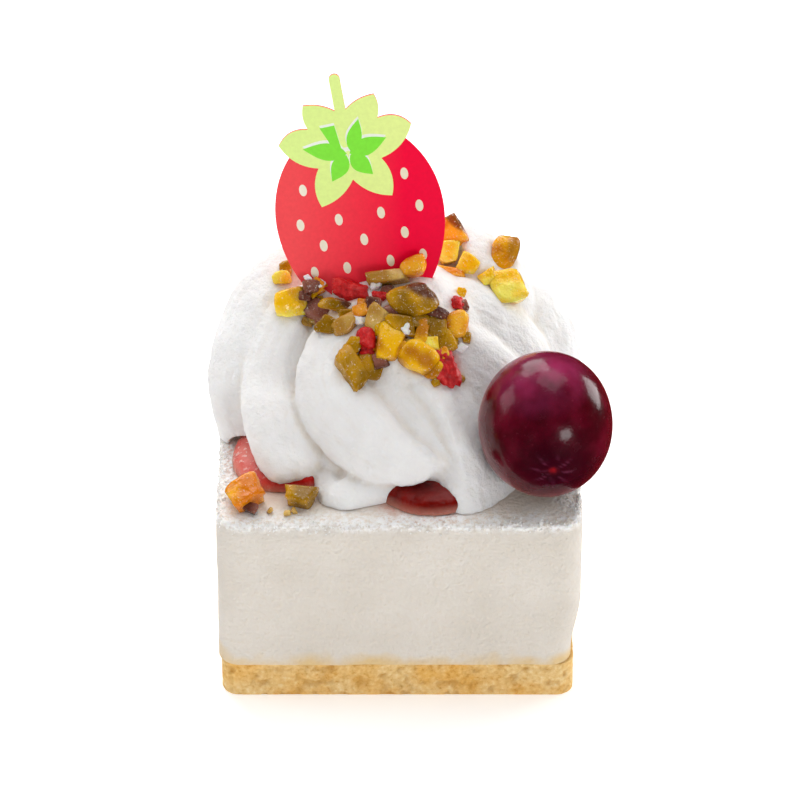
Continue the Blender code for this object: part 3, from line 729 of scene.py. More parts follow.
@dataclass
class MousseBlock:
    """Pale block, cut clean: porous sides, a damp glossy top painted lighter to lift its shade, a frosty crumbling top
    edge.
    """
    corner: float = 3.4
    edge: float = 0.8
    step: float = 0.45
    count: int = 460
    tuck: float = 1.3           # the right side draws in by this near the sponge
    tuck_high: float = 11.0
    crumble: float = 0.32       # how deep the top edge crumbles, and
    crumble_reach: float = 1.5  # how far from the edge
    soak_high: float = 2.6      # how high the sponge's syrup rises
    grains: int = 2200
    fallen: float = 0.35        # share of the grains that lie on the sides
    grain_small: float = 0.08
    grain_more: float = 0.20    # the largest are this much larger
    side: float = float(MOUSSE_TALL[1] - MOUSSE_LOW[1])
    low: float = float(MOUSSE_LOW[2])

    def build(self) -> bpy.types.Object:
        """Make, place and dress the mousse."""
        rings = CutBlock(self.side, self.low, TOP, self.corner, self.edge, self.count, self.step).surface()
        points = rings.reshape(-1, 3)
        up = np.clip((points[:, 2] - self.low - self.edge) / self.tuck_high, 0, 1)
        points[:, 0] -= self.tuck * 0.5 * (1 + np.cos(math.pi * up)) * (0.5 + points[:, 0] / self.side)
        obj = capped("mousse", points.reshape(rings.shape))
        points, out = coords(obj), normals(obj)
        inside = self.side / 2 - np.maximum(np.abs(points[:, 0]), np.abs(points[:, 1]))
        fall = np.hypot(np.maximum(inside - 0.3, 0), np.maximum(TOP - points[:, 2] - 0.3, 0))
        near = np.exp(-(fall / self.crumble_reach) ** 2)
        crumbly = rough(points, 1.1, 8, 3)
        shift = 0.10 * rough(points, 6.0, 1, 3) - 0.10 + near * (self.crumble * crumbly - 0.26)
        place(obj, points + out * np.minimum(shift, 0.0)[:, None])
        flat = np.clip((points[:, 2] - TOP + 0.5) / 0.5, 0, 1) * np.clip(inside / 1.2, 0, 1)
        # painted light: the top is painted lighter and warmer to lift its shade; the same mark makes it glossier
        mark(obj, "wet", flat * np.clip(0.8 + 0.35 * rough(points, 4.0, 9, 2), 0, 1))
        on_top = np.clip((points[:, 2] - TOP + 0.6) / 0.6, 0, 1)
        broad = np.exp(-(fall / (0.9 + 2.3 * on_top)) ** 2)
        mark(obj, "frost", np.clip(broad * (1.2 + 0.6 * crumbly), 0, 1))
        reach = points[:, 2] - self.low + 1.3 * rough(points, 2.6, 12, 3)
        mark(obj, "soak", np.clip(1 - reach / self.soak_high, 0, 1) * 0.85)
        mark(obj, "stain", self.stain(points) * flat)
        obj.data.materials.append(SetMousse().make())
        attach(obj, "root")
        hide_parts("mousse_block")
        return obj

    def stain(self, points: Array) -> Array:
        """Juice drawn into the top around the jam: fades with the distance from its rim.

        Args:
            points: places, (n, 3).
        Returns:
            Shares from 0 to 1, (n,).
        """
        away = np.min([np.hypot(points[:, 0] - x, points[:, 1] - y) - r for x, y, r in JamPool().discs], axis=0)
        return np.clip(np.exp(-np.maximum(away, 0) / 1.3) * (0.7 + 0.5 * rough(points, 1.6, 4, 3)), 0, 1)

    def crumbs(self) -> bpy.types.Object:
        """Frost grains along the top edge: jittered octahedra, some of them fallen down the sides."""
        rng, count = np.random.default_rng(21), self.grains
        outline, outward = rounded_square(self.side, self.corner, 2400)
        spots = rng.integers(0, 2400, count)
        inset = np.abs(rng.normal(0, 1.5, count))
        drop = np.where(rng.random(count) < self.fallen, np.abs(rng.normal(0, 0.8, count)), 0.0)
        inset = np.where(drop > 0, 0.18, 0.35 + inset)
        middle = np.column_stack([outline[spots] - outward[spots] * inset[:, None], TOP - 0.22 - drop])
        size = self.grain_small + self.grain_more * rng.random(count) ** 3
        octa = np.array([(1, 0, 0), (-1, 0, 0), (0, 1, 0), (0, -1, 0), (0, 0, 1), (0, 0, -1)], float)
        grain = octa[None] * size[:, None, None] * rng.uniform(0.6, 1.2, (count, 6, 3))
        grain = grain + rng.normal(0, 0.25, (count, 6, 3)) * size[:, None, None] + middle[:, None]
        half = self.side / 2
        grain = np.clip(grain, (-half, -half, 0), (half, half, TOP + 0.25))
        faces = np.array([(0, 2, 4), (2, 1, 4), (1, 3, 4), (3, 0, 4), (2, 0, 5), (1, 2, 5), (3, 1, 5), (0, 3, 5)])
        faces = (faces[None] + 6 * np.arange(count)[:, None, None]).reshape(-1, 3)
        obj = make_mesh("frost_crumbs", grain.reshape(-1, 3), faces)
        obj.data.shade_flat()
        obj.data.materials.append(SugarFrost().make())
        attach(obj, "root")
        return obj


@dataclass
class JamPool:
    """Red jam run together from three low discs: (across, depth, radius)."""
    discs: tuple = ((-16.7, -10.4, 9.7), (-5.5, -12.5, 8.5), (4.6, -17.2, 8.8))
    room: tuple = ((-18.4, -10.6, 8.9),)      # where no cream lies on the jam's rim
    high: float = 2.3
    slope: float = 3.5          # how far in the rim reaches its height
    voxel: float = 0.32
    lump: float = 0.16
    milky_from: float = -18.5   # left of here air is stirred in
    ruby_from: float = -10.0    # left of here it is a livelier red
    thin_high: float = 1.3      # below this the mousse shows through

    def shell(self, name: str, grow: float, discs: tuple) -> bpy.types.Object:
        """Discs with round rims, joined: inset by 1 - cos and raised by sin of the rim's angle.

        Their rims wander in and out a little with the turn.

        Args:
            name: the object's name.
            grow: clearance added all round.
            discs: which discs.
        Returns:
            The joined discs.
        """
        turn, rim = full_turn(72), np.linspace(0, math.pi / 2, 8)
        low, high = TOP + 0.1, TOP + self.high + grow
        parts = []
        for x, y, radius in discs:
            wander = 0.98 + 0.025 * np.sin(3 * turn + x) + 0.012 * np.sin(7 * turn + y)
            wide = radius + grow
            reach = np.concatenate([[wide], wide - self.slope * (1 - np.cos(rim)), [0.5]])[:, None] * wander
            height = np.concatenate([[TOP - 1], low + (high - low) * np.sin(rim), [high]])
            rings = np.stack([x + reach * np.cos(turn), y + reach * np.sin(turn), height[:, None] + 0 * turn], -1)
            parts.append(capped("disc", rings))
        return join(name, parts)

    def build(self) -> bpy.types.Object:
        """Make, place and dress the jam."""
        obj = self.shell("jam", 0.0, self.discs)
        melt(obj, self.voxel, 8, 0.6)
        points, out = coords(obj), normals(obj)
        lift = self.lump * rough(points, 2.4, 6, 3) - 0.75 * self.lump
        points = points + out * lift[:, None]
        points[:, 2] = np.clip(points[:, 2], TOP + 0.02, TOP + self.high)
        place(obj, points)
        patchy = 0.8 + 0.5 * rough(points, 3.0, 7, 2)
        mark(obj, "milky", np.clip(np.clip((self.milky_from - points[:, 0]) / 5, 0, 1) * patchy, 0, 1))
        mark(obj, "ruby", np.clip((self.ruby_from - points[:, 0]) / 4, 0, 1))
        mark(obj, "thin", np.clip(1 - (points[:, 2] - TOP) / self.thin_high, 0, 1) * 0.85)
        obj.data.materials.append(BerryJam().make())
        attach(obj, "root")
        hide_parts("berry_jam")
        return obj


@dataclass(frozen=True)
class Ridge:
    """One ridge of piped cream.

    Crest stations are (across, depth, height above the mousse). Left, right and depth are its
    half widths and depth at top, middle and foot. Sharp is 0 for a round crest, 1 for a keen one, at
    top, middle and foot. Blunt below 1 squares the section, so that its sides stand as steep lips.
    """
    crest: tuple
    left: tuple
    right: tuple
    depth: tuple
    sharp: tuple[float, float, float]
    blunt: float = 1.0


@dataclass
class CreamSwirl:
    """Twisted dollop of whipped cream: ridges wind down from the middle over a domed core."""
    axis: tuple[float, float] = (0.0, 4.0)
    core_radius: float = 18.5
    core_high: float = 24.6
    core_power: float = 0.87
    tips: tuple[float, float] = (4.0, 3.5)      # a ridge rounds off over this much at top and foot
    voxel: float = 0.33
    shrink: float = 0.24        # taken off all round, so that the relief stays inside the ridges
    lump: float = 0.14
    streak: float = 0.09
    ragged: float = 0.3         # how rough a lip is
    lip_bend: float = 0.16      # bend at which a lip is fully rough
    crease_bend: float = 0.25   # bend at which a crease takes its full painted shade
    ridges: dict[str, Ridge] = field(default_factory=lambda: {
        "far_left": Ridge(((-8, 14, 26), (-19, 15, 22.5), (-26, 10.5, 17.5), (-29.5, 3, 11), (-29.5, -3, 5.5),
                           (-27, -7, -3)), (5, 7, 5), (5, 8, 5), (5, 7, 6), (0.15,) * 3),
        "left": Ridge(((-10, 4, 24), (-17.5, 4.5, 21), (-22, 0.5, 17), (-24.3, -6, 11), (-23.2, -13.8, 6.6),
                       (-18.6, -20.8, 0.0)), (3, 4.5, 4.8), (3.5, 4.6, 5.4), (4, 6, 6), (0.3, 0.3, 0.1)),
        "flap": Ridge(((-4, 0, 24.5), (-11.4, -7.2, 19.0), (-11.6, -13.6, 13.9), (-6.0, -19.6, 9.6),
                       (0.4, -21.7, 7.0), (6.6, -21.2, 5.2)), (3.5, 6.6, 2.7), (4, 6, 2.5), (3, 3.6, 1.9),
                      (0.0,) * 3, 0.62),
        "fold": Ridge(((-12, -11, 7), (-12.4, -15.6, 4.0), (-9.5, -18.6, 2.0), (-4.5, -19.6, 1.4),
                       (0.8, -19.6, 1.6), (5, -17, 2.0)), (3, 4, 3), (3.6, 3.2, 2.6), (4, 5, 3), (0.1,) * 3),
        "fold_foot": Ridge(((-13.0, -13, 3.2), (-13.2, -17.4, 1.4), (-12.0, -22.6, 0.5), (-8.0, -24.6, 0.3),
                            (-4.0, -23.2, 0.4), (-0.2, -21.6, 0.8), (3.4, -17.5, 1.2)),
                           (3, 3, 3), (3.4, 3.8, 3.0), (4, 5.5, 4), (0.0,) * 3, 0.9),
        "web": Ridge(((-6.5, -8, 18.2), (-3.0, -12.4, 14.2), (1.2, -16.2, 10.0), (5.0, -19.0, 6.4), (8, -21, 3.0)),
                     (4, 5.5, 4), (4, 5.5, 4), (4, 5, 4), (0.0,) * 3),
        "keen": Ridge(((-3, 0, 24.6), (-0.3, -8.3, 18.8), (3.2, -12.4, 15.4), (6.6, -15.4, 12),
                       (9.3, -19.0, 7.6), (10.8, -22.4, 3.8), (11.7, -27.4, -2)),
                      (3, 4.2, 3.6), (7, 12.5, 10), (4, 7, 4), (0.5, 0.8, 0.0)),
        "right": Ridge(((2, 1, 25), (8, -3.4, 21.6), (16.4, -4.4, 15.2), (21, -5, 10), (24.5, -6, 4), (26, -6, -3)),
                       (6, 12, 9), (5, 8, 7), (5, 6, 6), (0.5, 0.5, 0.3)),
        "far_right": Ridge(((-1, 8, 23), (9.1, 7.5, 22), (14.7, 7.2, 20), (20, 6.5, 15.5), (24, 4, 9.5), (27, 0, -3)),
                           (5, 9, 8), (3, 6, 7), (5, 8, 6), (0.25,) * 3),
        "right_foot": Ridge(((15, 20, 18), (22, 18, 15), (27, 14.5, 11), (28.9, 10, 7), (28.5, 5, 2.5), (27.5, 3, -3)),
                            (5, 6, 6), (5, 6, 6), (5, 7, 6), (0.15,) * 3),
        "back_right": Ridge(((1, 12.5, 26), (7, 18, 25.6), (12.4, 18.8, 24.2), (16.8, 16.5, 21.8),
                             (20.4, 13.6, 18.2), (23.2, 9, 8)), (4, 6, 6), (4, 6, 6), (4, 7, 7), (0.25,) * 3),
        "back_side": Ridge(((3, 14, 26), (10, 21.5, 23.6), (17, 25, 18), (20, 26, 11), (20.5, 26.5, -3)),
                           (5, 7, 6), (5, 7, 6), (5, 7, 6), (0.2,) * 3),
        "back": Ridge(((-3, 13, 26.2), (-1, 21, 24), (1.5, 25.0, 18), (2, 26.9, 11), (0, 27.0, -3)),
                      (5, 8, 7), (5, 8, 7), (5, 7, 6), (0.25,) * 3),
        "back_left": Ridge(((-5, 13, 26.2), (-11.5, 19.5, 23.8), (-16.5, 22, 18), (-19.5, 23, 11), (-20, 22.5, -3)),
                           (5, 8, 7), (5, 8, 7), (5, 7, 6), (0.25,) * 3),
    })

    def rope(self, ridge: Ridge, along: int = 70, sections: int = 56) -> Array:
        """Surface of a ridge.

        A circle (sin, cos), each to the power blunt, is stretched to the half widths and the depth.
        Its sides are drawn in towards the crest by 1 - sharp * cos^1.5, and it shrinks to a round tip
        at either end.

        Args:
            ridge: its stations and sizes.
            along: sections along it.
            sections: points round a section.
        Returns:
            Points (along, sections, 3).
        """
        share = np.linspace(0, 1, along)
        crest = curve_through(ridge.crest, share)
        path = np.gradient(crest, axis=0)
        path /= np.linalg.norm(path, axis=1)[:, None]
        inner = np.stack([0 * share + self.axis[0], 0 * share + self.axis[1], 0.45 * crest[:, 2] - 4], -1)
        out = crest - inner
        out -= (out * path).sum(1)[:, None] * path
        out /= np.linalg.norm(out, axis=1)[:, None]
        side = np.cross(path, out)
        left, right, depth = (curve_through(w, share)[:, 0] for w in (ridge.left, ridge.right, ridge.depth))
        run = np.concatenate([[0], np.cumsum(np.linalg.norm(np.diff(crest, axis=0), axis=1))])
        tip = np.ones(along)
        for reach, distance in zip(self.tips, (run, run[-1] - run)):
            tip *= np.sqrt(np.clip(1 - (1 - np.clip(distance / reach, 0, 1)) ** 2, 0.001, 1))
        angle = full_turn(sections)
        up, across = (np.sign(w) * np.abs(w) ** ridge.blunt for w in (np.cos(angle), np.sin(angle)))
        sharp = np.interp(share, (0, 0.5, 1), ridge.sharp)
        across = across * (1 - sharp[:, None] * np.maximum(up, 0) ** 1.5)
        width = np.where(across > 0, left[:, None], right[:, None]) * tip[:, None]
        middle = crest - out * depth[:, None]
        points = middle[:, None] + side[:, None] * (across * width)[..., None]
        points = points + out[:, None] * (up[None] * (depth * tip)[:, None])[..., None]
        return points + (0, 0, TOP)

    def core(self) -> Array:
        """Dome inside the ridges: radius cos and height sin of one angle, each to the core's power."""
        angle, turn = np.linspace(0, math.pi / 2 * 0.98, 24), full_turn(72)
        radius = self.core_radius * np.cos(angle) ** self.core_power
        height = TOP - 1.0 + (self.core_high + 1.0) * np.sin(angle) ** self.core_power
        return np.stack([self.axis[0] + radius[:, None] * np.cos(turn), self.axis[1] + radius[:, None] * np.sin(turn),
                         height[:, None] + 0 * turn], -1)

    def streaks(self, points: Array) -> Array:
        """Faint lines drawn along the ridges as the cream is piped.

        Each point takes the nearest crest place, and its height field varies fast across the ridge
        and slowly along it.

        Args:
            points: surface places, (n, 3).
        Returns:
            Heights from about -1 to 1, (n,).
        """
        best = np.full(len(points), 1e9)
        chart = np.zeros((len(points), 3))
        share = np.linspace(0, 1, 40)
        for number, ridge in enumerate(self.ridges.values()):
            crest = curve_through(ridge.crest, share) + (0, 0, TOP)
            gap = np.linalg.norm(points[:, None, :] - crest[None], axis=2)
            at = gap.argmin(1)
            near = gap[np.arange(len(points)), at]
            path = np.gradient(crest, axis=0)[at]
            path /= np.linalg.norm(path, axis=1)[:, None]
            offset = points - crest[at]
            offset -= (offset * path).sum(1)[:, None] * path
            closer = near < best
            best = np.where(closer, near, best)
            spin = np.stack([offset[:, 0] * 2.0, offset[:, 2] * 2.0, share[at] * 6.0 + number * 9.0], -1)
            chart[closer] = spin[closer]
        return rough(chart, 1.6, 15, 2)

    def build(self, berry: "BerryFruit", pick: "StrawberryPick") -> bpy.types.Object:
        """Make, fit and dress the cream.

        Args:
            berry: the berry that presses a pocket into it.
            pick: the pick that stands in it.
        Returns:
            The cream.
        """
        parts = [capped(name, self.rope(ridge)) for name, ridge in self.ridges.items()]
        obj = join("cream", parts + [capped("core", self.core())])
        melt(obj, self.voxel, 4, 0.5)
        points, out = coords(obj), normals(obj)
        lip = np.clip(-self.bend(obj) / self.lip_bend, 0, 1)
        shift = self.streak * self.streaks(points) + self.lump * rough(points, 2.8, 2, 3) - self.shrink
        shift = shift + self.ragged * lip * rough(points, 1.0, 17, 2)
        place(obj, berry.press(points + out * shift[:, None]))
        jam = JamPool()
        cut(obj, self.floor())
        cut(obj, jam.shell("jam_room", TOUCH, jam.room))
        cut(obj, pick.plate("pick_slot", TOUCH))
        self.keep_largest(obj)
        # painted shade: the deeper a crease, the more shade is painted into it
        mark(obj, "hollow", np.clip(self.bend(obj) / self.crease_bend, 0, 1) * 0.8)
        obj.data.shade_smooth()
        obj.data.materials.clear()
        obj.data.materials.append(WhippedCream().make())
        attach(obj, "root")
        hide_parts("whipped_cream")
        return obj

    def floor(self) -> bpy.types.Object:
        """Box that trims the cream level with the mousse's top."""
        square = np.array([(-60, -60), (60, -60), (60, 60), (-60, 60)], float)
        rings = np.stack([np.column_stack([square, np.full(4, h)]) for h in (TOP - 20, TOP + TOUCH)])
        return capped("floor", rings)

    def keep_largest(self, obj: bpy.types.Object) -> None:
        """Drop every shell but the largest.

        Args:
            obj: the object.
        """
        shell = bmesh.new()
        shell.from_mesh(obj.data)
        left, bodies = set(shell.faces), []
        while left:
            body, front = [], [left.pop()]
            while front:
                face = front.pop()
                body.append(face)
                for other in (near for edge in face.edges for near in edge.link_faces):
                    if other in left:
                        left.remove(other)
                        front.append(other)
            bodies.append(body)
        bodies.sort(key=len)
        bmesh.ops.delete(shell, geom=[f for body in bodies[:-1] for f in body], context="FACES")
        shell.to_mesh(obj.data)
        shell.free()

    def bend(self, obj: bpy.types.Object) -> Array:
        """How far the mean of a point's near neighbours lies outside it.

        Args:
            obj: the object.
        Returns:
            Millimetres, above 0 in creases and below 0 on lips, (n,).
        """
        points, out = coords(obj), normals(obj)
        edges = np.empty(len(obj.data.edges) * 2, int)
        obj.data.edges.foreach_get("vertices", edges)
        a, b = edges.reshape(-1, 2).T
        count = np.maximum(np.bincount(a, minlength=len(points)) + np.bincount(b, minlength=len(points)), 1)
        mean = points.copy()
        for _ in range(5):
            total = np.stack([np.bincount(a, mean[b, i], len(points)) + np.bincount(b, mean[a, i], len(points))
                              for i in range(3)], -1)
            mean = total / count[:, None]
        return ((mean - points) * out).sum(1)


@dataclass
class BerryFruit:
    """Dark berry: an upright spheroid, a little angular, with a small dimple in front."""
    middle: tuple[float, float, float] = (22.4, -17.8, TOP + 11.6)
    radii: tuple[float, float, float] = (10.35, 10.85, 11.35)
    aim: tuple[float, float, float] = (0.08, -0.95, -0.12)      # the way its dimple faces
    crown: tuple[float, float, float] = (-0.1, -0.05, 0.99)     # the way its painted highlight haze faces
    dimple: float = 1.2
    dimple_deep: float = 0.45
    rim_out: float = 2.4        # the low rim round the dimple
    rim_high: float = 0.10
    lump: float = 0.16
    heart: float = 0.5          # radii of the marks round the dimple
    bruise: float = 8.0
    ray_out: float = 2.2
    rings: int = 96
    sections: int = 128

    def press(self, points: Array) -> Array:
        """Push points out of the berry, to just outside its skin.

        Args:
            points: places, (n, 3).
        Returns:
            The moved places.
        """
        radii = np.array(self.radii) + TOUCH
        offset = (points - self.middle) / radii
        length = np.linalg.norm(offset, axis=1)
        grown = np.where(length < 1, 1 / np.maximum(length, 1e-6), 1.0)
        return self.middle + offset * grown[:, None] * radii

    def build(self) -> bpy.types.Object:
        """Make, place and dress the berry: a sphere scaled to its radii.

        The dimple is a bell of the distance off its middle, with a low rim round it. The rays are
        two beating sines of the turn about it.
        """
        way = ways(np.linspace(0.004, math.pi - 0.004, self.rings), full_turn(self.sections))
        aim = np.array(self.aim) / np.linalg.norm(self.aim)
        off = np.arccos(np.clip(way @ aim, -1, 1)) * self.radii[1]
        sink = self.dimple_deep * np.exp(-(off / self.dimple) ** 2)
        sink -= self.rim_high * np.exp(-((off - self.rim_out) / 0.9) ** 2)
        lumps = self.lump * rough(way * 10, 9.0, 14, 2) - 0.75 * self.lump
        points = np.array(self.middle) + way * (np.array(self.radii) + (np.minimum(lumps, 0) - sink)[:, None])
        obj = capped("dark_berry", points.reshape(self.rings, self.sections, 3))
        side = np.cross(aim, (0.0, 0.0, 1.0))
        spoke = np.arctan2(way @ np.cross(side, aim), way @ side)
        lit = np.clip((way @ np.array(self.crown) - 0.62) / 0.3, 0, 1)
        # painted highlight: a pale purple haze where the skin faces up
        mark(obj, "bloom", lit * np.clip(0.6 + 0.5 * rough(way * 10, 3.5, 19, 3), 0, 1) * 0.65)
        mark(obj, "heart", np.exp(-(off / self.heart) ** 2) * 0.55)
        # darker across the front, round the dimple
        mark(obj, "bruise", np.exp(-(off / self.bruise) ** 2) * 0.75)
        beat = np.maximum(np.sin(13 * spoke) * np.sin(5 * spoke + 1), 0) ** 2
        mark(obj, "rays", beat * np.exp(-((off - self.ray_out) / 1.1) ** 2) * 0.28)
        obj.data.materials.append(BerrySkin().make())
        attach(obj, "root")
        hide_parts("berry")
        return obj


@dataclass
class StrawberryPick:
    """Flat printed strawberry: (down, across) places in its own plane, bowed and leaning."""
    middle: tuple[float, float, float] = (-8.0, 9.3, TOP + 44.57)
    roll: float = math.radians(10)
    lean: float = math.radians(15)
    thick: float = 0.5
    bow: float = 0.9
    half: float = 13.0
    widest: float = 11.5
    above: float = 15.3
    below: float = 19.9
    stem_half: float = 0.85
    stem_top: float = -11.6
    left: float = -22.0         # the painted light's grade runs from here
    right: float = 2.0          # to here
    seed_half: tuple[float, float] = (0.95, 0.6)
    seeds: tuple = ((5.9, 7.9), (11.4, 9.3), (11.4, 3.3), (15.2, 6.35), (15.2, 0.0), (19.3, 8.5), (19.3, 3.4),
                    (23.3, 5.9), (23.3, 0.0))

    def fruit(self, grow: float, steps: int = 120) -> Array:
        """Fruit outline: half an ellipse above its widest place, 1 - x^2 to the 0.78 below.

        Args:
            grow: clearance added all round.
            steps: how many points.
        Returns:
            Points (steps, 2).
        """
        angle = 2 * math.pi * np.arange(steps) / steps
        rise = np.cos(angle)
        reach = np.where(rise > 0, self.above, self.below) + grow
        power = np.where(rise > 0, 0.5, 0.78)
        wide = (self.half + grow) * np.maximum(1 - rise ** 2, 0) ** power
        return np.stack([self.widest - reach * rise, np.sign(np.sin(angle)) * wide], -1)

    def swell(self, start: tuple, end: tuple, bulge: float, steps: int = 10) -> Array:
        """Shallow arc: a parabola that stands out from the chord by 4 bulge f (1 - f).

        Args:
            start: its first point.
            end: the point that it stops short of.
            bulge: how far it stands out.
            steps: how many points.
        Returns:
            Points (steps, 2).
        """
        a, b = np.array(start, float), np.array(end, float)
        f = np.arange(steps)[:, None] / steps
        out = np.array([-(b - a)[1], (b - a)[0]]) / np.linalg.norm(b - a)
        return a + (b - a) * f + out * 4 * bulge * f * (1 - f)

    def calyx(self) -> Array:
        """Six-pointed calyx: tips joined by arcs that swell outwards, mirrored across."""
        tips = [(-5.6, 0.6), (-7.4, 5.5), (-3.6, 5.4), (-1.65, 10.3), (2.8, 4.9), (9.0, 5.5), (5.4, 0.0)]
        bulges = [0.5, 0.4, 0.9, 0.9, 0.8, 0.7]
        right = np.vstack([self.swell(*arc) for arc in zip(tips[:-1], tips[1:], bulges)] + [tips[-1:]])
        left = right[::-1][1:] * (1, -1)
        return np.vstack([right, left])

    def stem(self) -> Array:
        """Stem outline: a slim bar with a round end."""
        half = self.stem_half
        turn = np.linspace(0, math.pi, 13)
        cap = np.stack([self.stem_top + half - half * np.sin(turn), half * np.cos(turn)], -1)
        return np.vstack([[(-3.6, -half), (-3.6, half)], cap])

    def petal(self, root: tuple, tip: tuple, half: float, shift: float = 0.0) -> Array:
        """Inner leaf: a lens whose half width is half times sin(pi f^0.8).

        Args:
            root: its lower end.
            tip: its upper end.
            half: its half width.
            shift: how far it is moved up.
        Returns:
            Points (26, 2).
        """
        a, b = np.array(root, float), np.array(tip, float)
        f = np.linspace(0, 1, 14)
        along = a + (b - a) * f[:, None]
        side = np.array([-(b - a)[1], (b - a)[0]]) / np.linalg.norm(b - a)
        wide = half * np.sin(math.pi * f ** 0.8)
        loop = np.vstack([along + side * wide[:, None], (along - side * wide[:, None])[::-1][1:-1]])
        return loop - (shift, 0)

    def print_fields(self) -> list[tuple[Print, Array]]:
        """All printed outlines, lowest first."""
        fields = [(Print.FRUIT, self.fruit(0)), (Print.CALYX, self.calyx()), (Print.CALYX, self.stem())]
        tips = (((1.2, -0.2), (-0.6, -6.75), 1.4), ((1.2, 0.2), (-0.3, 6.2), 1.4),
                ((1.4, -0.3), (5.2, -3.2), 1.35), ((1.4, 0.3), (5.1, 3.2), 1.35), ((1.0, 0.5), (-4.0, 2.5), 1.15))
        wedge = np.array([(0.9, -0.8), (0.4, -2.1), (-1.4, -2.7), (-3.5, -3.6), (-3.6, -1.3)])
        for root, tip, half in tips:
            fields.append((Print.LINE, self.petal(root, tip, half + 0.1, 0.4)))
        fields.append((Print.LINE, wedge - (0.4, 0)))
        fields.append((Print.LINE, np.array([(0.15, -0.8), (0.75, -0.8), (0.75, 0.8), (0.15, 0.8)])))
        for root, tip, half in tips:
            fields.append((Print.LEAF, self.petal(root, tip, half)))
        fields.append((Print.LEAF, wedge))
        turn = full_turn(18)
        long, wide = self.seed_half
        for down, across in self.seeds:
            for side in ((1, -1) if across else (1,)):
                oval = np.stack([down + long * np.cos(turn), side * across + wide * np.sin(turn)], -1)
                fields.append((Print.SEED, oval))
        return fields

    def flat_mesh(self, outlines: list[Array]) -> tuple[Array, Array, list[list[int]]]:
        """Triangles that follow every outline and a 1.5 mm grid between them.

        Args:
            outlines: closed loops in the plate's plane.
        Returns:
            Points (n, 2), triangles (m, 3) and, for each, the outlines that hold it.
        """
        area = [np.sum(x * np.roll(y, -1) - np.roll(x, -1) * y) for x, y in (loop.T for loop in outlines)]
        turned = [loop if twice > 0 else loop[::-1] for loop, twice in zip(outlines, area)]
        points = [Vector(p) for loop in turned for p in loop]
        ends = np.cumsum([0] + [len(loop) for loop in turned])
        loops = [list(range(ends[i], ends[i + 1])) for i in range(len(outlines))]
        grid = [Vector((d, a)) for d in np.arange(-3, 31, 1.5) for a in np.arange(-12, 12.1, 1.5)]
        flat, _, tris, _, _, owners = delaunay_2d_cdt(points + grid, [], loops, 1, 1e-4)
        used = np.unique(np.array(tris))
        index = np.full(len(flat), -1)
        index[used] = np.arange(len(used))
        return np.array([flat[i] for i in used]), index[np.array(tris)], owners

    def to_cake(self, flat: Array, front: float) -> Array:
        """Bow, lean and roll points of the plate's plane to their places on the cake.

        Args:
            flat: (down, across) places, (n, 2).
            front: height off the plate's middle.
        Returns:
            Places (n, 3).
        """
        turn = Matrix.Rotation(-self.lean, 3, "X") @ Matrix.Rotation(-self.roll, 3, "Y")
        bowed = front - self.bow * (flat[:, 1] / self.half) ** 2
        local = np.stack([flat[:, 1], -bowed, -flat[:, 0]], -1)
        return np.array(self.middle) + local @ np.array(turn).T

    def solid(self, name: str, flat: Array, tris: Array, half: float) -> tuple[bpy.types.Object, int]:
        """Plate from flat triangles: a front, a back turned round, and a wall at the rim.

        Args:
            name: the object's name.
            flat: points in the plate's plane, (n, 2).
            tris: triangles, (m, 3).
            half: half its thickness.
        Returns:
            The object and how many triangles its front has.
        """
        count = len(flat)
        edges = np.vstack([tris[:, [0, 1]], tris[:, [1, 2]], tris[:, [2, 0]]])
        known = set(map(tuple, edges.tolist()))
        rim = [(a, b) for a, b in known if (b, a) not in known]
        points = np.vstack([self.to_cake(flat, half), self.to_cake(flat, -half)])
        faces = np.vstack([tris, tris[:, ::-1] + count])
        wall = [[b, a, a + count, b + count] for a, b in sorted(rim)]
        return make_mesh(name, points, faces, wall), len(tris)

    def plate(self, name: str, grow: float) -> bpy.types.Object:
        """Plain plate, grown by a clearance, that cuts its slot."""
        flat, tris, _ = self.flat_mesh([self.fruit(grow)])
        return self.solid(name, flat, tris, self.thick / 2 + grow)[0]

    def build(self) -> bpy.types.Object:
        """Make, place and dress the pick, each printed field with its own colour."""
        fields = self.print_fields()
        flat, tris, owners = self.flat_mesh([loop for _, loop in fields])
        obj, count = self.solid("pick", flat, tris, self.thick / 2)
        order = list(Print)
        ink = [order.index(fields[max(owner)][0]) for owner in owners]
        for layer in order:
            name, main, lit = layer.value
            obj.data.materials.append(PrintedPlastic(name, main, lit).make())
        slots = np.zeros(len(obj.data.polygons), int)
        slots[:count], slots[count:2 * count] = ink, ink
        obj.data.polygons.foreach_set("material_index", slots)
        # painted light: share from the pick's lit left to its right
        mark(obj, "across", (coords(obj)[:, 0] - self.left) / (self.right - self.left))
        obj.data.set_sharp_from_angle(angle=math.radians(40))
        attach(obj, "root")
        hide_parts("strawberry_pick")
        return obj


class Form(Enum):
    """How a bit is shaped."""
    CUT = "cut"         # hard facets, as a knife leaves them
    LOBED = "lobed"     # soft and rounded
    CURL = "curl"       # thin and bent
    BEADED = "beaded"   # covered in small round grains


class Morsel(Enum):
    """Kinds of chopped topping: finish name, dark and light flesh, skin."""
    LEMON = ("lemon_nut", "#FFC400", "#FFF068", "#C08420")
    GOLD = ("golden_nut", "#C27A00", "#F8BC00", "#7A4218")
    OLIVE = ("olive_nut", "#946A00", "#CC9600", "#5C2E24")
    PALE = ("pale_nut", "#B48430", "#E0BC6A", "#7A5636")
    AMBER = ("amber_fruit", "#E27E00", "#FFB828", "#7A3410")
    HUSK = ("brown_husk", "#54281E", "#9A6252", "#3C2A1A")
    RED = ("red_crumb", "#A00008", "#DC1414", "#A80814")
    SUGAR = ("sugar_lump", "#EFEAE4", "#FFFFFF", "#FFFFFF")


LEMON, GOLD, OLIVE, PALE, AMBER, HUSK, RED, SUGAR = Morsel
CUT, LOBED, CURL, BEADED = Form


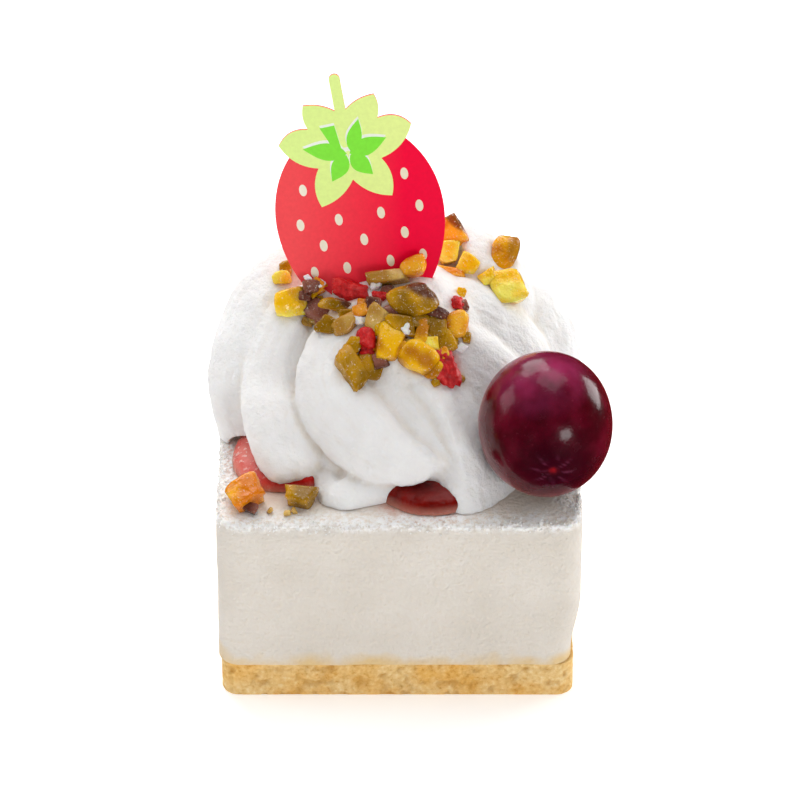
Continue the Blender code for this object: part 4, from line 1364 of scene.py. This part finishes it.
@dataclass(frozen=True)
class Bit:
    """One bit: seen across and up in the layout plane, its sizes, how far it stands out, its turn."""
    across: float
    up: float
    wide: float
    high: float
    deep: float
    out: float
    turn: float
    kind: Morsel
    form: Form = CUT
    skin: float = 0.0


@dataclass
class ChoppedTopping:
    """Nut and dried berry bits, laid out along sight lines and sunk in what they lie on."""
    rise: float = math.radians(35)
    far: float = 700.0
    middle: tuple[float, float, float] = (0.0, -28.0, TOP)
    pick_middle: float = -5.5   # bits this close on either side of it rest against the pick
    pick_reach: float = 9.0
    swell: float = 1.14         # makes up for what the cuts take off
    tilt: float = 0.35          # how far a bit faces up from the sight line
    sunk: float = 0.3           # share of its depth that is sunk in
    stain: float = 0.7          # how far its syrup or juice creeps
    beads: int = 70
    husk_way: tuple[float, float, float] = (0.8, 0.5, 0.33)     # the side that keeps its skin
    rings: int = 24
    sections: int = 34
    bits: tuple = (
        Bit(-17.2, 38.5, 1.9, 2.6, 1.8, 0.5, 0, OLIVE), Bit(-17.9, 37.1, 3.4, 2.1, 2.2, 0.7, 20, LEMON, LOBED),
        Bit(-16.7, 33.4, 4.4, 4.6, 3.6, 0.8, 14, LEMON, CUT, 0.5), Bit(-14.2, 34.6, 1.8, 1.8, 1.6, 0.6, 0, HUSK),
        Bit(-11.9, 32.1, 5.2, 3.4, 2.6, 1.1, -32, HUSK, CURL), Bit(-10.4, 30.0, 3.4, 2.6, 2.4, 0.7, -25, OLIVE),
        Bit(-8.3, 30.0, 3.8, 2.6, 2.4, 0.8, 24, PALE), Bit(-9.2, 33.0, 5.4, 2.0, 2.0, 1.2, -14, OLIVE, CURL, 0.9),
        Bit(-7.4, 35.5, 6.8, 3.9, 3.4, 1.8, -16, RED, BEADED), Bit(-2.9, 34.5, 2.9, 2.2, 1.9, 1.0, 0, RED, BEADED),
        Bit(2.0, 38.8, 4.2, 3.4, 3.0, 1.1, 6, AMBER, LOBED), Bit(-1.6, 37.4, 5.8, 2.4, 2.4, 1.5, 12, PALE),
        Bit(-5.9, 32.4, 2.6, 2.0, 2.0, 0.8, 20, AMBER), Bit(-3.9, 33.1, 2.4, 2.4, 2.0, 0.8, 0, HUSK),
        Bit(2.2, 33.8, 8.0, 5.6, 5.0, 1.9, 22, OLIVE, LOBED, 0.95), Bit(-3.3, 31.1, 3.0, 4.2, 3.0, 1.0, -28, PALE),
        Bit(5.3, 32.1, 4.4, 1.9, 2.4, 0.9, -18, HUSK, CURL), Bit(5.6, 29.9, 3.0, 3.2, 2.4, 0.7, 0, OLIVE),
        Bit(8.8, 30.1, 3.7, 4.2, 3.0, 1.1, 10, AMBER, LOBED), Bit(3.5, 29.2, 1.9, 4.2, 2.0, 1.0, -8, GOLD),
        Bit(-4.9, 28.4, 3.4, 3.4, 2.8, 1.3, 0, RED, LOBED), Bit(-4.7, 26.3, 3.0, 2.4, 2.2, 0.9, 0, RED, BEADED),
        Bit(-1.5, 27.2, 4.2, 5.4, 3.4, 1.2, -20, GOLD), Bit(2.7, 25.2, 6.4, 4.8, 4.4, 1.7, -38, GOLD, LOBED),
        Bit(5.2, 23.4, 2.4, 3.4, 2.4, 1.3, -20, GOLD, LOBED), Bit(6.9, 24.2, 4.8, 7.6, 4.0, 1.7, 10, RED, BEADED),
        Bit(-7.3, 23.8, 3.0, 6.4, 2.8, 1.2, 26, OLIVE), Bit(-4.6, 24.2, 3.6, 4.0, 2.6, 0.8, -10, OLIVE),
        Bit(4.9, 27.5, 2.2, 2.4, 2.0, 0.8, 0, LEMON), Bit(8.1, 44.1, 3.6, 4.4, 2.4, 1.3, 25, AMBER, CUT, 0.9),
        Bit(7.3, 41.0, 3.4, 3.8, 2.6, 0.9, 0, LEMON), Bit(10.6, 39.0, 3.0, 3.2, 2.6, 0.6, -24, LEMON),
        Bit(7.9, 38.0, 4.8, 1.6, 1.6, 0.6, -12, AMBER), Bit(13.5, 37.1, 3.0, 2.4, 2.4, 0.5, 30, LEMON),
        Bit(16.7, 35.4, 5.0, 5.2, 4.4, 1.4, 12, LEMON), Bit(16.0, 40.7, 4.4, 5.9, 3.6, 1.9, -20, GOLD, LOBED, 0.4),
        Bit(8.8, 33.3, 2.7, 2.8, 2.4, 0.9, 0, RED, BEADED), Bit(0.3, 30.4, 4.4, 2.8, 2.6, 0.9, -10, OLIVE),
        Bit(-13.4, 35.9, 2.4, 2.0, 2.2, 0.5, 10, HUSK), Bit(-6.9, 27.2, 2.0, 2.4, 2.0, 0.6, -15, OLIVE),
        Bit(-3.5, 36.2, 2.2, 2.0, 1.8, 1.3, 0, SUGAR, BEADED), Bit(0.9, 29.8, 2.8, 3.2, 2.2, 1.3, 0, SUGAR, BEADED),
        Bit(-5.9, 30.8, 2.8, 1.6, 1.8, 0.9, 0, SUGAR, BEADED), Bit(7.0, 28.0, 3.0, 3.4, 2.4, 0.7, 0, OLIVE),
        Bit(-7.6, 31.6, 3.2, 2.2, 2.2, 0.7, 10, OLIVE), Bit(-1.3, 32.0, 2.6, 2.4, 2.0, 0.6, 30, HUSK),
        Bit(6.4, 26.2, 2.2, 2.4, 2.0, 0.6, 0, AMBER), Bit(-2.6, 29.6, 2.6, 2.2, 2.2, 0.6, 0, GOLD),
        Bit(-2.9, 24.6, 2.2, 2.4, 2.0, 0.7, 20, HUSK), Bit(0.4, 26.4, 2.0, 2.6, 2.0, 0.6, 0, AMBER),
        Bit(3.0, 31.0, 3.4, 2.2, 2.2, 0.6, 0, OLIVE), Bit(-13.0, 31.0, 1.8, 1.6, 1.6, 0.5, 0, PALE),
    )
    # in the jam's left edge: middle (across, depth, height), sizes, turn, kind
    low_bits: tuple = (((-23.5, -22.0, 1.7), (5.4, 4.2, 4.6), 30, AMBER),
                       ((-15.3, -22.4, 1.4), (4.4, 3.2, 3.2), -12, OLIVE),
                       ((-22.6, -24.6, 0.7), (2.2, 1.4, 1.5), -30, HUSK),
                       ((-17.0, -25.3, 0.3), (1.0, 0.8, 0.8), 0, PALE),
                       ((-16.0, -24.7, 0.3), (0.8, 1.0, 0.7), 20, PALE),
                       ((-19.7, -24.8, 0.3), (0.9, 0.7, 0.7), 50, PALE))
    fragments: int = 46

    def sight(self, across: float, up: float) -> tuple[Vector, Vector]:
        """Sight line through a place in the layout plane.

        Args:
            across: the place, to the right.
            up: the place, upwards.
        Returns:
            Where it starts and its direction.
        """
        ahead = Vector((0, math.cos(self.rise), -math.sin(self.rise)))
        upward = Vector((0, math.sin(self.rise), math.cos(self.rise)))
        eye = Vector(self.middle) - ahead * self.far
        return eye, (Vector(self.middle) + Vector((across, 0, 0)) + upward * up - eye).normalized()

    def chunk(self, rng: np.random.Generator, middle: Vector, out: Vector, sizes: tuple, turn: float,
              form: Form) -> tuple[Array, Array]:
        """One chopped bit as a closed sphere of rings.

        A direction's radius is the soft least of its distances to a skewed box's sides and a few
        chamfers: (sum of (n.d / distance)^p) to the power -1/p, with a high p for hard facets.
        Grains raise it by the nearest of many bumps; a curl bends the plate by the square of its width.

        Args:
            rng: seeded source of the cuts.
            middle: where it lies.
            out: the way its depth faces.
            sizes: width, height and depth.
            turn: degrees about that way.
            form: how it is shaped.
        Returns:
            Points (rings, sections, 3) and how far each lies on the skin side.
        """
        way = ways(np.linspace(0.02, math.pi - 0.02, self.rings), full_turn(self.sections))
        chamfers = 4 if form is CUT else 8
        cuts = np.vstack([np.eye(3), -np.eye(3)]) + rng.uniform(-0.3, 0.3, (6, 3))
        cuts = np.vstack([cuts, rng.normal(0, 1, (chamfers, 3))])
        cuts /= np.linalg.norm(cuts, axis=1)[:, None]
        reach = np.concatenate([rng.uniform(0.75, 0.95, 6), rng.uniform(0.9, 1.2, chamfers)])
        hard = {CUT: 26, CURL: 18, LOBED: 4, BEADED: 4}[form]
        share = (np.maximum(way @ cuts.T, 0) / reach) ** hard
        radius = np.minimum(share.sum(1) ** (-1 / hard), 1.5)
        seed = int(rng.integers(1, 99))
        if form is BEADED:
            beads = rng.normal(0, 1, (self.beads, 3))
            beads /= np.linalg.norm(beads, axis=1)[:, None]
            near = np.arccos(np.clip(way @ beads.T, -1, 1)).min(1)
            radius *= (0.92 + 0.14 * rough(way * 3, 2.2, seed, 2)) * (1.08 - 0.9 * np.minimum(near, 0.3))
        else:
            radius *= 1 + (0.10 if form is LOBED else 0.07) * rough(way * 3, 1.5, seed, 3)
        husk = np.clip((way @ np.array(self.husk_way) - 0.45) * 6, 0, 1)
        local = way * radius[:, None] * np.array(sizes) * (self.swell / 2)
        if form is CURL:
            local[:, 2] = 0.5 * local[:, 2] + 0.5 * sizes[2] * (0.6 - (2 * local[:, 0] / sizes[0]) ** 2)
        side = Vector((1, 0, 0)) - out * out.x
        side.normalize()
        axes = Matrix((side, out.cross(side), out)).transposed() @ Matrix.Rotation(math.radians(turn), 3, "Z")
        return (local @ np.array(axes).T + np.array(middle)).reshape(self.rings, self.sections, 3), husk

    def build(self, cream: bpy.types.Object, pick: StrawberryPick) -> list[bpy.types.Object]:
        """Lay out every bit, join each kind into one piece and stain the cream beneath.

        Args:
            cream: what most bits lie on.
            pick: what the bits nearest to it rest against.
        Returns:
            One piece for each kind.
        """
        places = coords(cream)
        tree = BVHTree.FromPolygons(places.tolist(), [tuple(p.vertices) for p in cream.data.polygons])
        foot, face = (Vector(pick.to_cake(np.array([[down, 0.0]]), front)[0]) for down, front in ((20, 0), (0, 1)))
        face -= Vector(pick.to_cake(np.zeros((1, 2)), 0)[0])
        rng = np.random.default_rng(11)
        heaps: dict[Morsel, list] = {kind: [] for kind in Morsel}
        syrup, juice = np.zeros(len(places)), np.zeros(len(places))
        for bit in self.bits + self.scraps():
            eye, aim = self.sight(bit.across, bit.up)
            hit = tree.ray_cast(eye, aim)[0]
            plate = (foot - eye).dot(face) / aim.dot(face)
            reach = (hit - eye).length if hit else plate
            if abs(bit.across - self.pick_middle) < self.pick_reach:
                reach = min(reach, plate - 0.5 * bit.deep)
            out = (-aim + Vector((0, 0, self.tilt))).normalized()
            middle = eye + aim * (reach - bit.out + self.sunk * bit.deep)
            shape, husk = self.chunk(rng, middle, out, (bit.wide, bit.high, bit.deep), bit.turn, bit.form)
            heaps[bit.kind].append((shape, husk * bit.skin))
            away = np.linalg.norm(places - np.array(middle), axis=1) - 0.42 * (bit.wide + bit.high) / 2
            near = np.exp(-np.maximum(away, 0) / self.stain)
            if bit.kind is RED:
                juice = np.maximum(juice, near)
            elif bit.kind is not SUGAR:
                syrup = np.maximum(syrup, near)
        for (x, y, z), sizes, turn, kind in self.low_bits:
            shape, husk = self.chunk(rng, Vector((x, y, TOP + z)), Vector((0, -0.5, 0.86)), sizes, turn, CUT)
            heaps[kind].append((shape, 0 * husk))
        patchy = np.clip(0.55 + 0.5 * rough(places, 1.5, 33, 3), 0, 1)
        mark(cream, "syrup", syrup ** 1.6 * patchy * 0.85)
        mark(cream, "juice", juice ** 2.2 * patchy * 0.6)
        return [self.heap(kind, shapes) for kind, shapes in heaps.items()]

    def scraps(self) -> tuple[Bit, ...]:
        """Small fragments strewn around seeded picks of the main heap's bits."""
        rng = np.random.default_rng(5)
        near = [bit for bit in self.bits if -14 < bit.across < 10 and bit.up < 36]
        kinds = (GOLD, OLIVE, PALE, HUSK, SUGAR, AMBER, OLIVE)
        made = []
        for number in range(self.fragments):
            host = near[rng.integers(len(near))]
            swing, size = rng.uniform(0, 2 * math.pi), rng.uniform(0.7, 1.6)
            across = host.across + 0.6 * host.wide * math.cos(swing)
            up = host.up + 0.6 * host.high * math.sin(swing)
            made.append(Bit(across, up, size * rng.uniform(0.8, 1.6), size, size, 0.35, rng.uniform(-60, 60),
                            kinds[number % len(kinds)]))
        return tuple(made)

    def heap(self, kind: Morsel, shapes: list[tuple[Array, Array]]) -> bpy.types.Object:
        """Join all bits of one kind and dress them.

        Args:
            kind: which kind.
            shapes: for each bit, its points and skin.
        Returns:
            The piece.
        """
        name, dark, light, skin = kind.value
        obj = join(name, [capped("bit", shape) for shape, _ in shapes])
        mark(obj, "skin", np.concatenate([husk for _, husk in shapes]))
        finish = DriedBerry(name) if kind is RED else NutFlesh(name, dark, light, skin)
        obj.data.materials.append(finish.make())
        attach(obj, "root")
        return obj


@dataclass
class Studio:
    """Pale floor, soft light from behind on both sides, a low fill from the front right."""
    scale: float = 6.58         # picture points for each mm at the mousse's front edge
    picture: float = 800.0
    edge_point: tuple[float, float] = (399.0, 525.0)
    sensor: float = 36.0
    rise: float = math.radians(35)
    far: float = 700.0
    paper_glow: float = 0.4
    sky: float = 0.47
    # name, way from the cake, distance and width in m, watts
    lamps: tuple = (("back_window", (-0.25, 0.71, 0.66), 0.9, 0.6, 4.8),
                    ("left_window", (-0.9, 0.15, 0.45), 0.8, 0.4, 1.1),
                    ("right_window", (0.83, 0.5, 0.2), 0.8, 0.35, 2.4),
                    ("front_fill", (0.52, -0.82, 0.18), 0.9, 0.25, 1.6),
                    ("overhead", (0.15, 0.25, 0.96), 0.9, 0.6, 2.3))

    def camera(self) -> None:
        """Camera at the photograph's angle, aimed so that the mousse's front edge lies where it does there."""
        ahead = np.array([0, math.cos(self.rise), -math.sin(self.rise)])
        upward = np.array([0, math.sin(self.rise), math.cos(self.rise)])
        shift_up = (self.edge_point[1] - self.picture / 2) / self.scale
        shift_right = (self.picture / 2 - self.edge_point[0]) / self.scale
        edge = np.array([shift_right, -28.0, TOP])
        data = bpy.data.cameras.new("camera")
        data.sensor_width = self.sensor
        data.lens = self.scale * self.sensor * self.far / self.picture
        data.clip_start, data.clip_end = 0.01, 20.0
        camera = linked("camera", data)
        camera.location = Vector((edge - ahead * self.far + upward * shift_up) * MM)
        camera.rotation_euler = (math.pi / 2 - self.rise, 0, 0)
        bpy.context.scene.camera = camera

    def build(self) -> None:
        """Set the floor, the sky and the lamps."""
        wide = 3000.0
        corners = np.array([(-wide, -wide, 0), (wide, -wide, 0), (wide, wide, 0), (-wide, wide, 0)])
        floor = make_mesh("floor", corners, np.array([(0, 1, 2, 3)]))
        paper = bpy.data.materials.new("white_paper")
        paper.use_nodes = True
        shader = paper.node_tree.nodes["Principled BSDF"]
        shader.inputs["Base Color"].default_value = linear("#F6F6F6")
        shader.inputs["Roughness"].default_value = 0.9
        shader.inputs["Emission Color"].default_value = linear(WHITE)
        shader.inputs["Emission Strength"].default_value = self.paper_glow
        floor.data.materials.append(paper)
        floor.visible_glossy = False
        world = bpy.data.worlds.new("studio")
        world.use_nodes = True
        background = world.node_tree.nodes["Background"]
        background.inputs["Color"].default_value = linear(WHITE)
        background.inputs["Strength"].default_value = self.sky
        world.cycles_visibility.glossy = False
        bpy.context.scene.world = world
        bpy.context.scene.view_settings.view_transform = "Standard"
        for name, way, far, size, power in self.lamps:
            data = bpy.data.lights.new(name, "AREA")
            data.size, data.energy = size, power
            lamp = linked(name, data)
            toward = Vector(way).normalized()
            lamp.location = Vector((0, 0, 0.04)) + toward * far
            lamp.rotation_euler = toward.to_track_quat("Z", "Y").to_euler()


def main() -> None:
    """Build the cake from the sponge up, then the studio."""
    berry, pick = BerryFruit(), StrawberryPick()
    mousse = MousseBlock()
    made = [SpongeBase().build(), mousse.build(), mousse.crumbs(), JamPool().build()]
    cream = CreamSwirl().build(berry, pick)
    made += [cream, berry.build(), pick.build()]
    made += ChoppedTopping().build(cream, pick)
    for piece in made:
        log.info("%s: %d faces", piece.name, len(piece.data.polygons))
    studio = Studio()
    studio.build()
    studio.camera()
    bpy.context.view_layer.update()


if __name__ == "__main__":
    logging.basicConfig(level=logging.INFO)
    main()
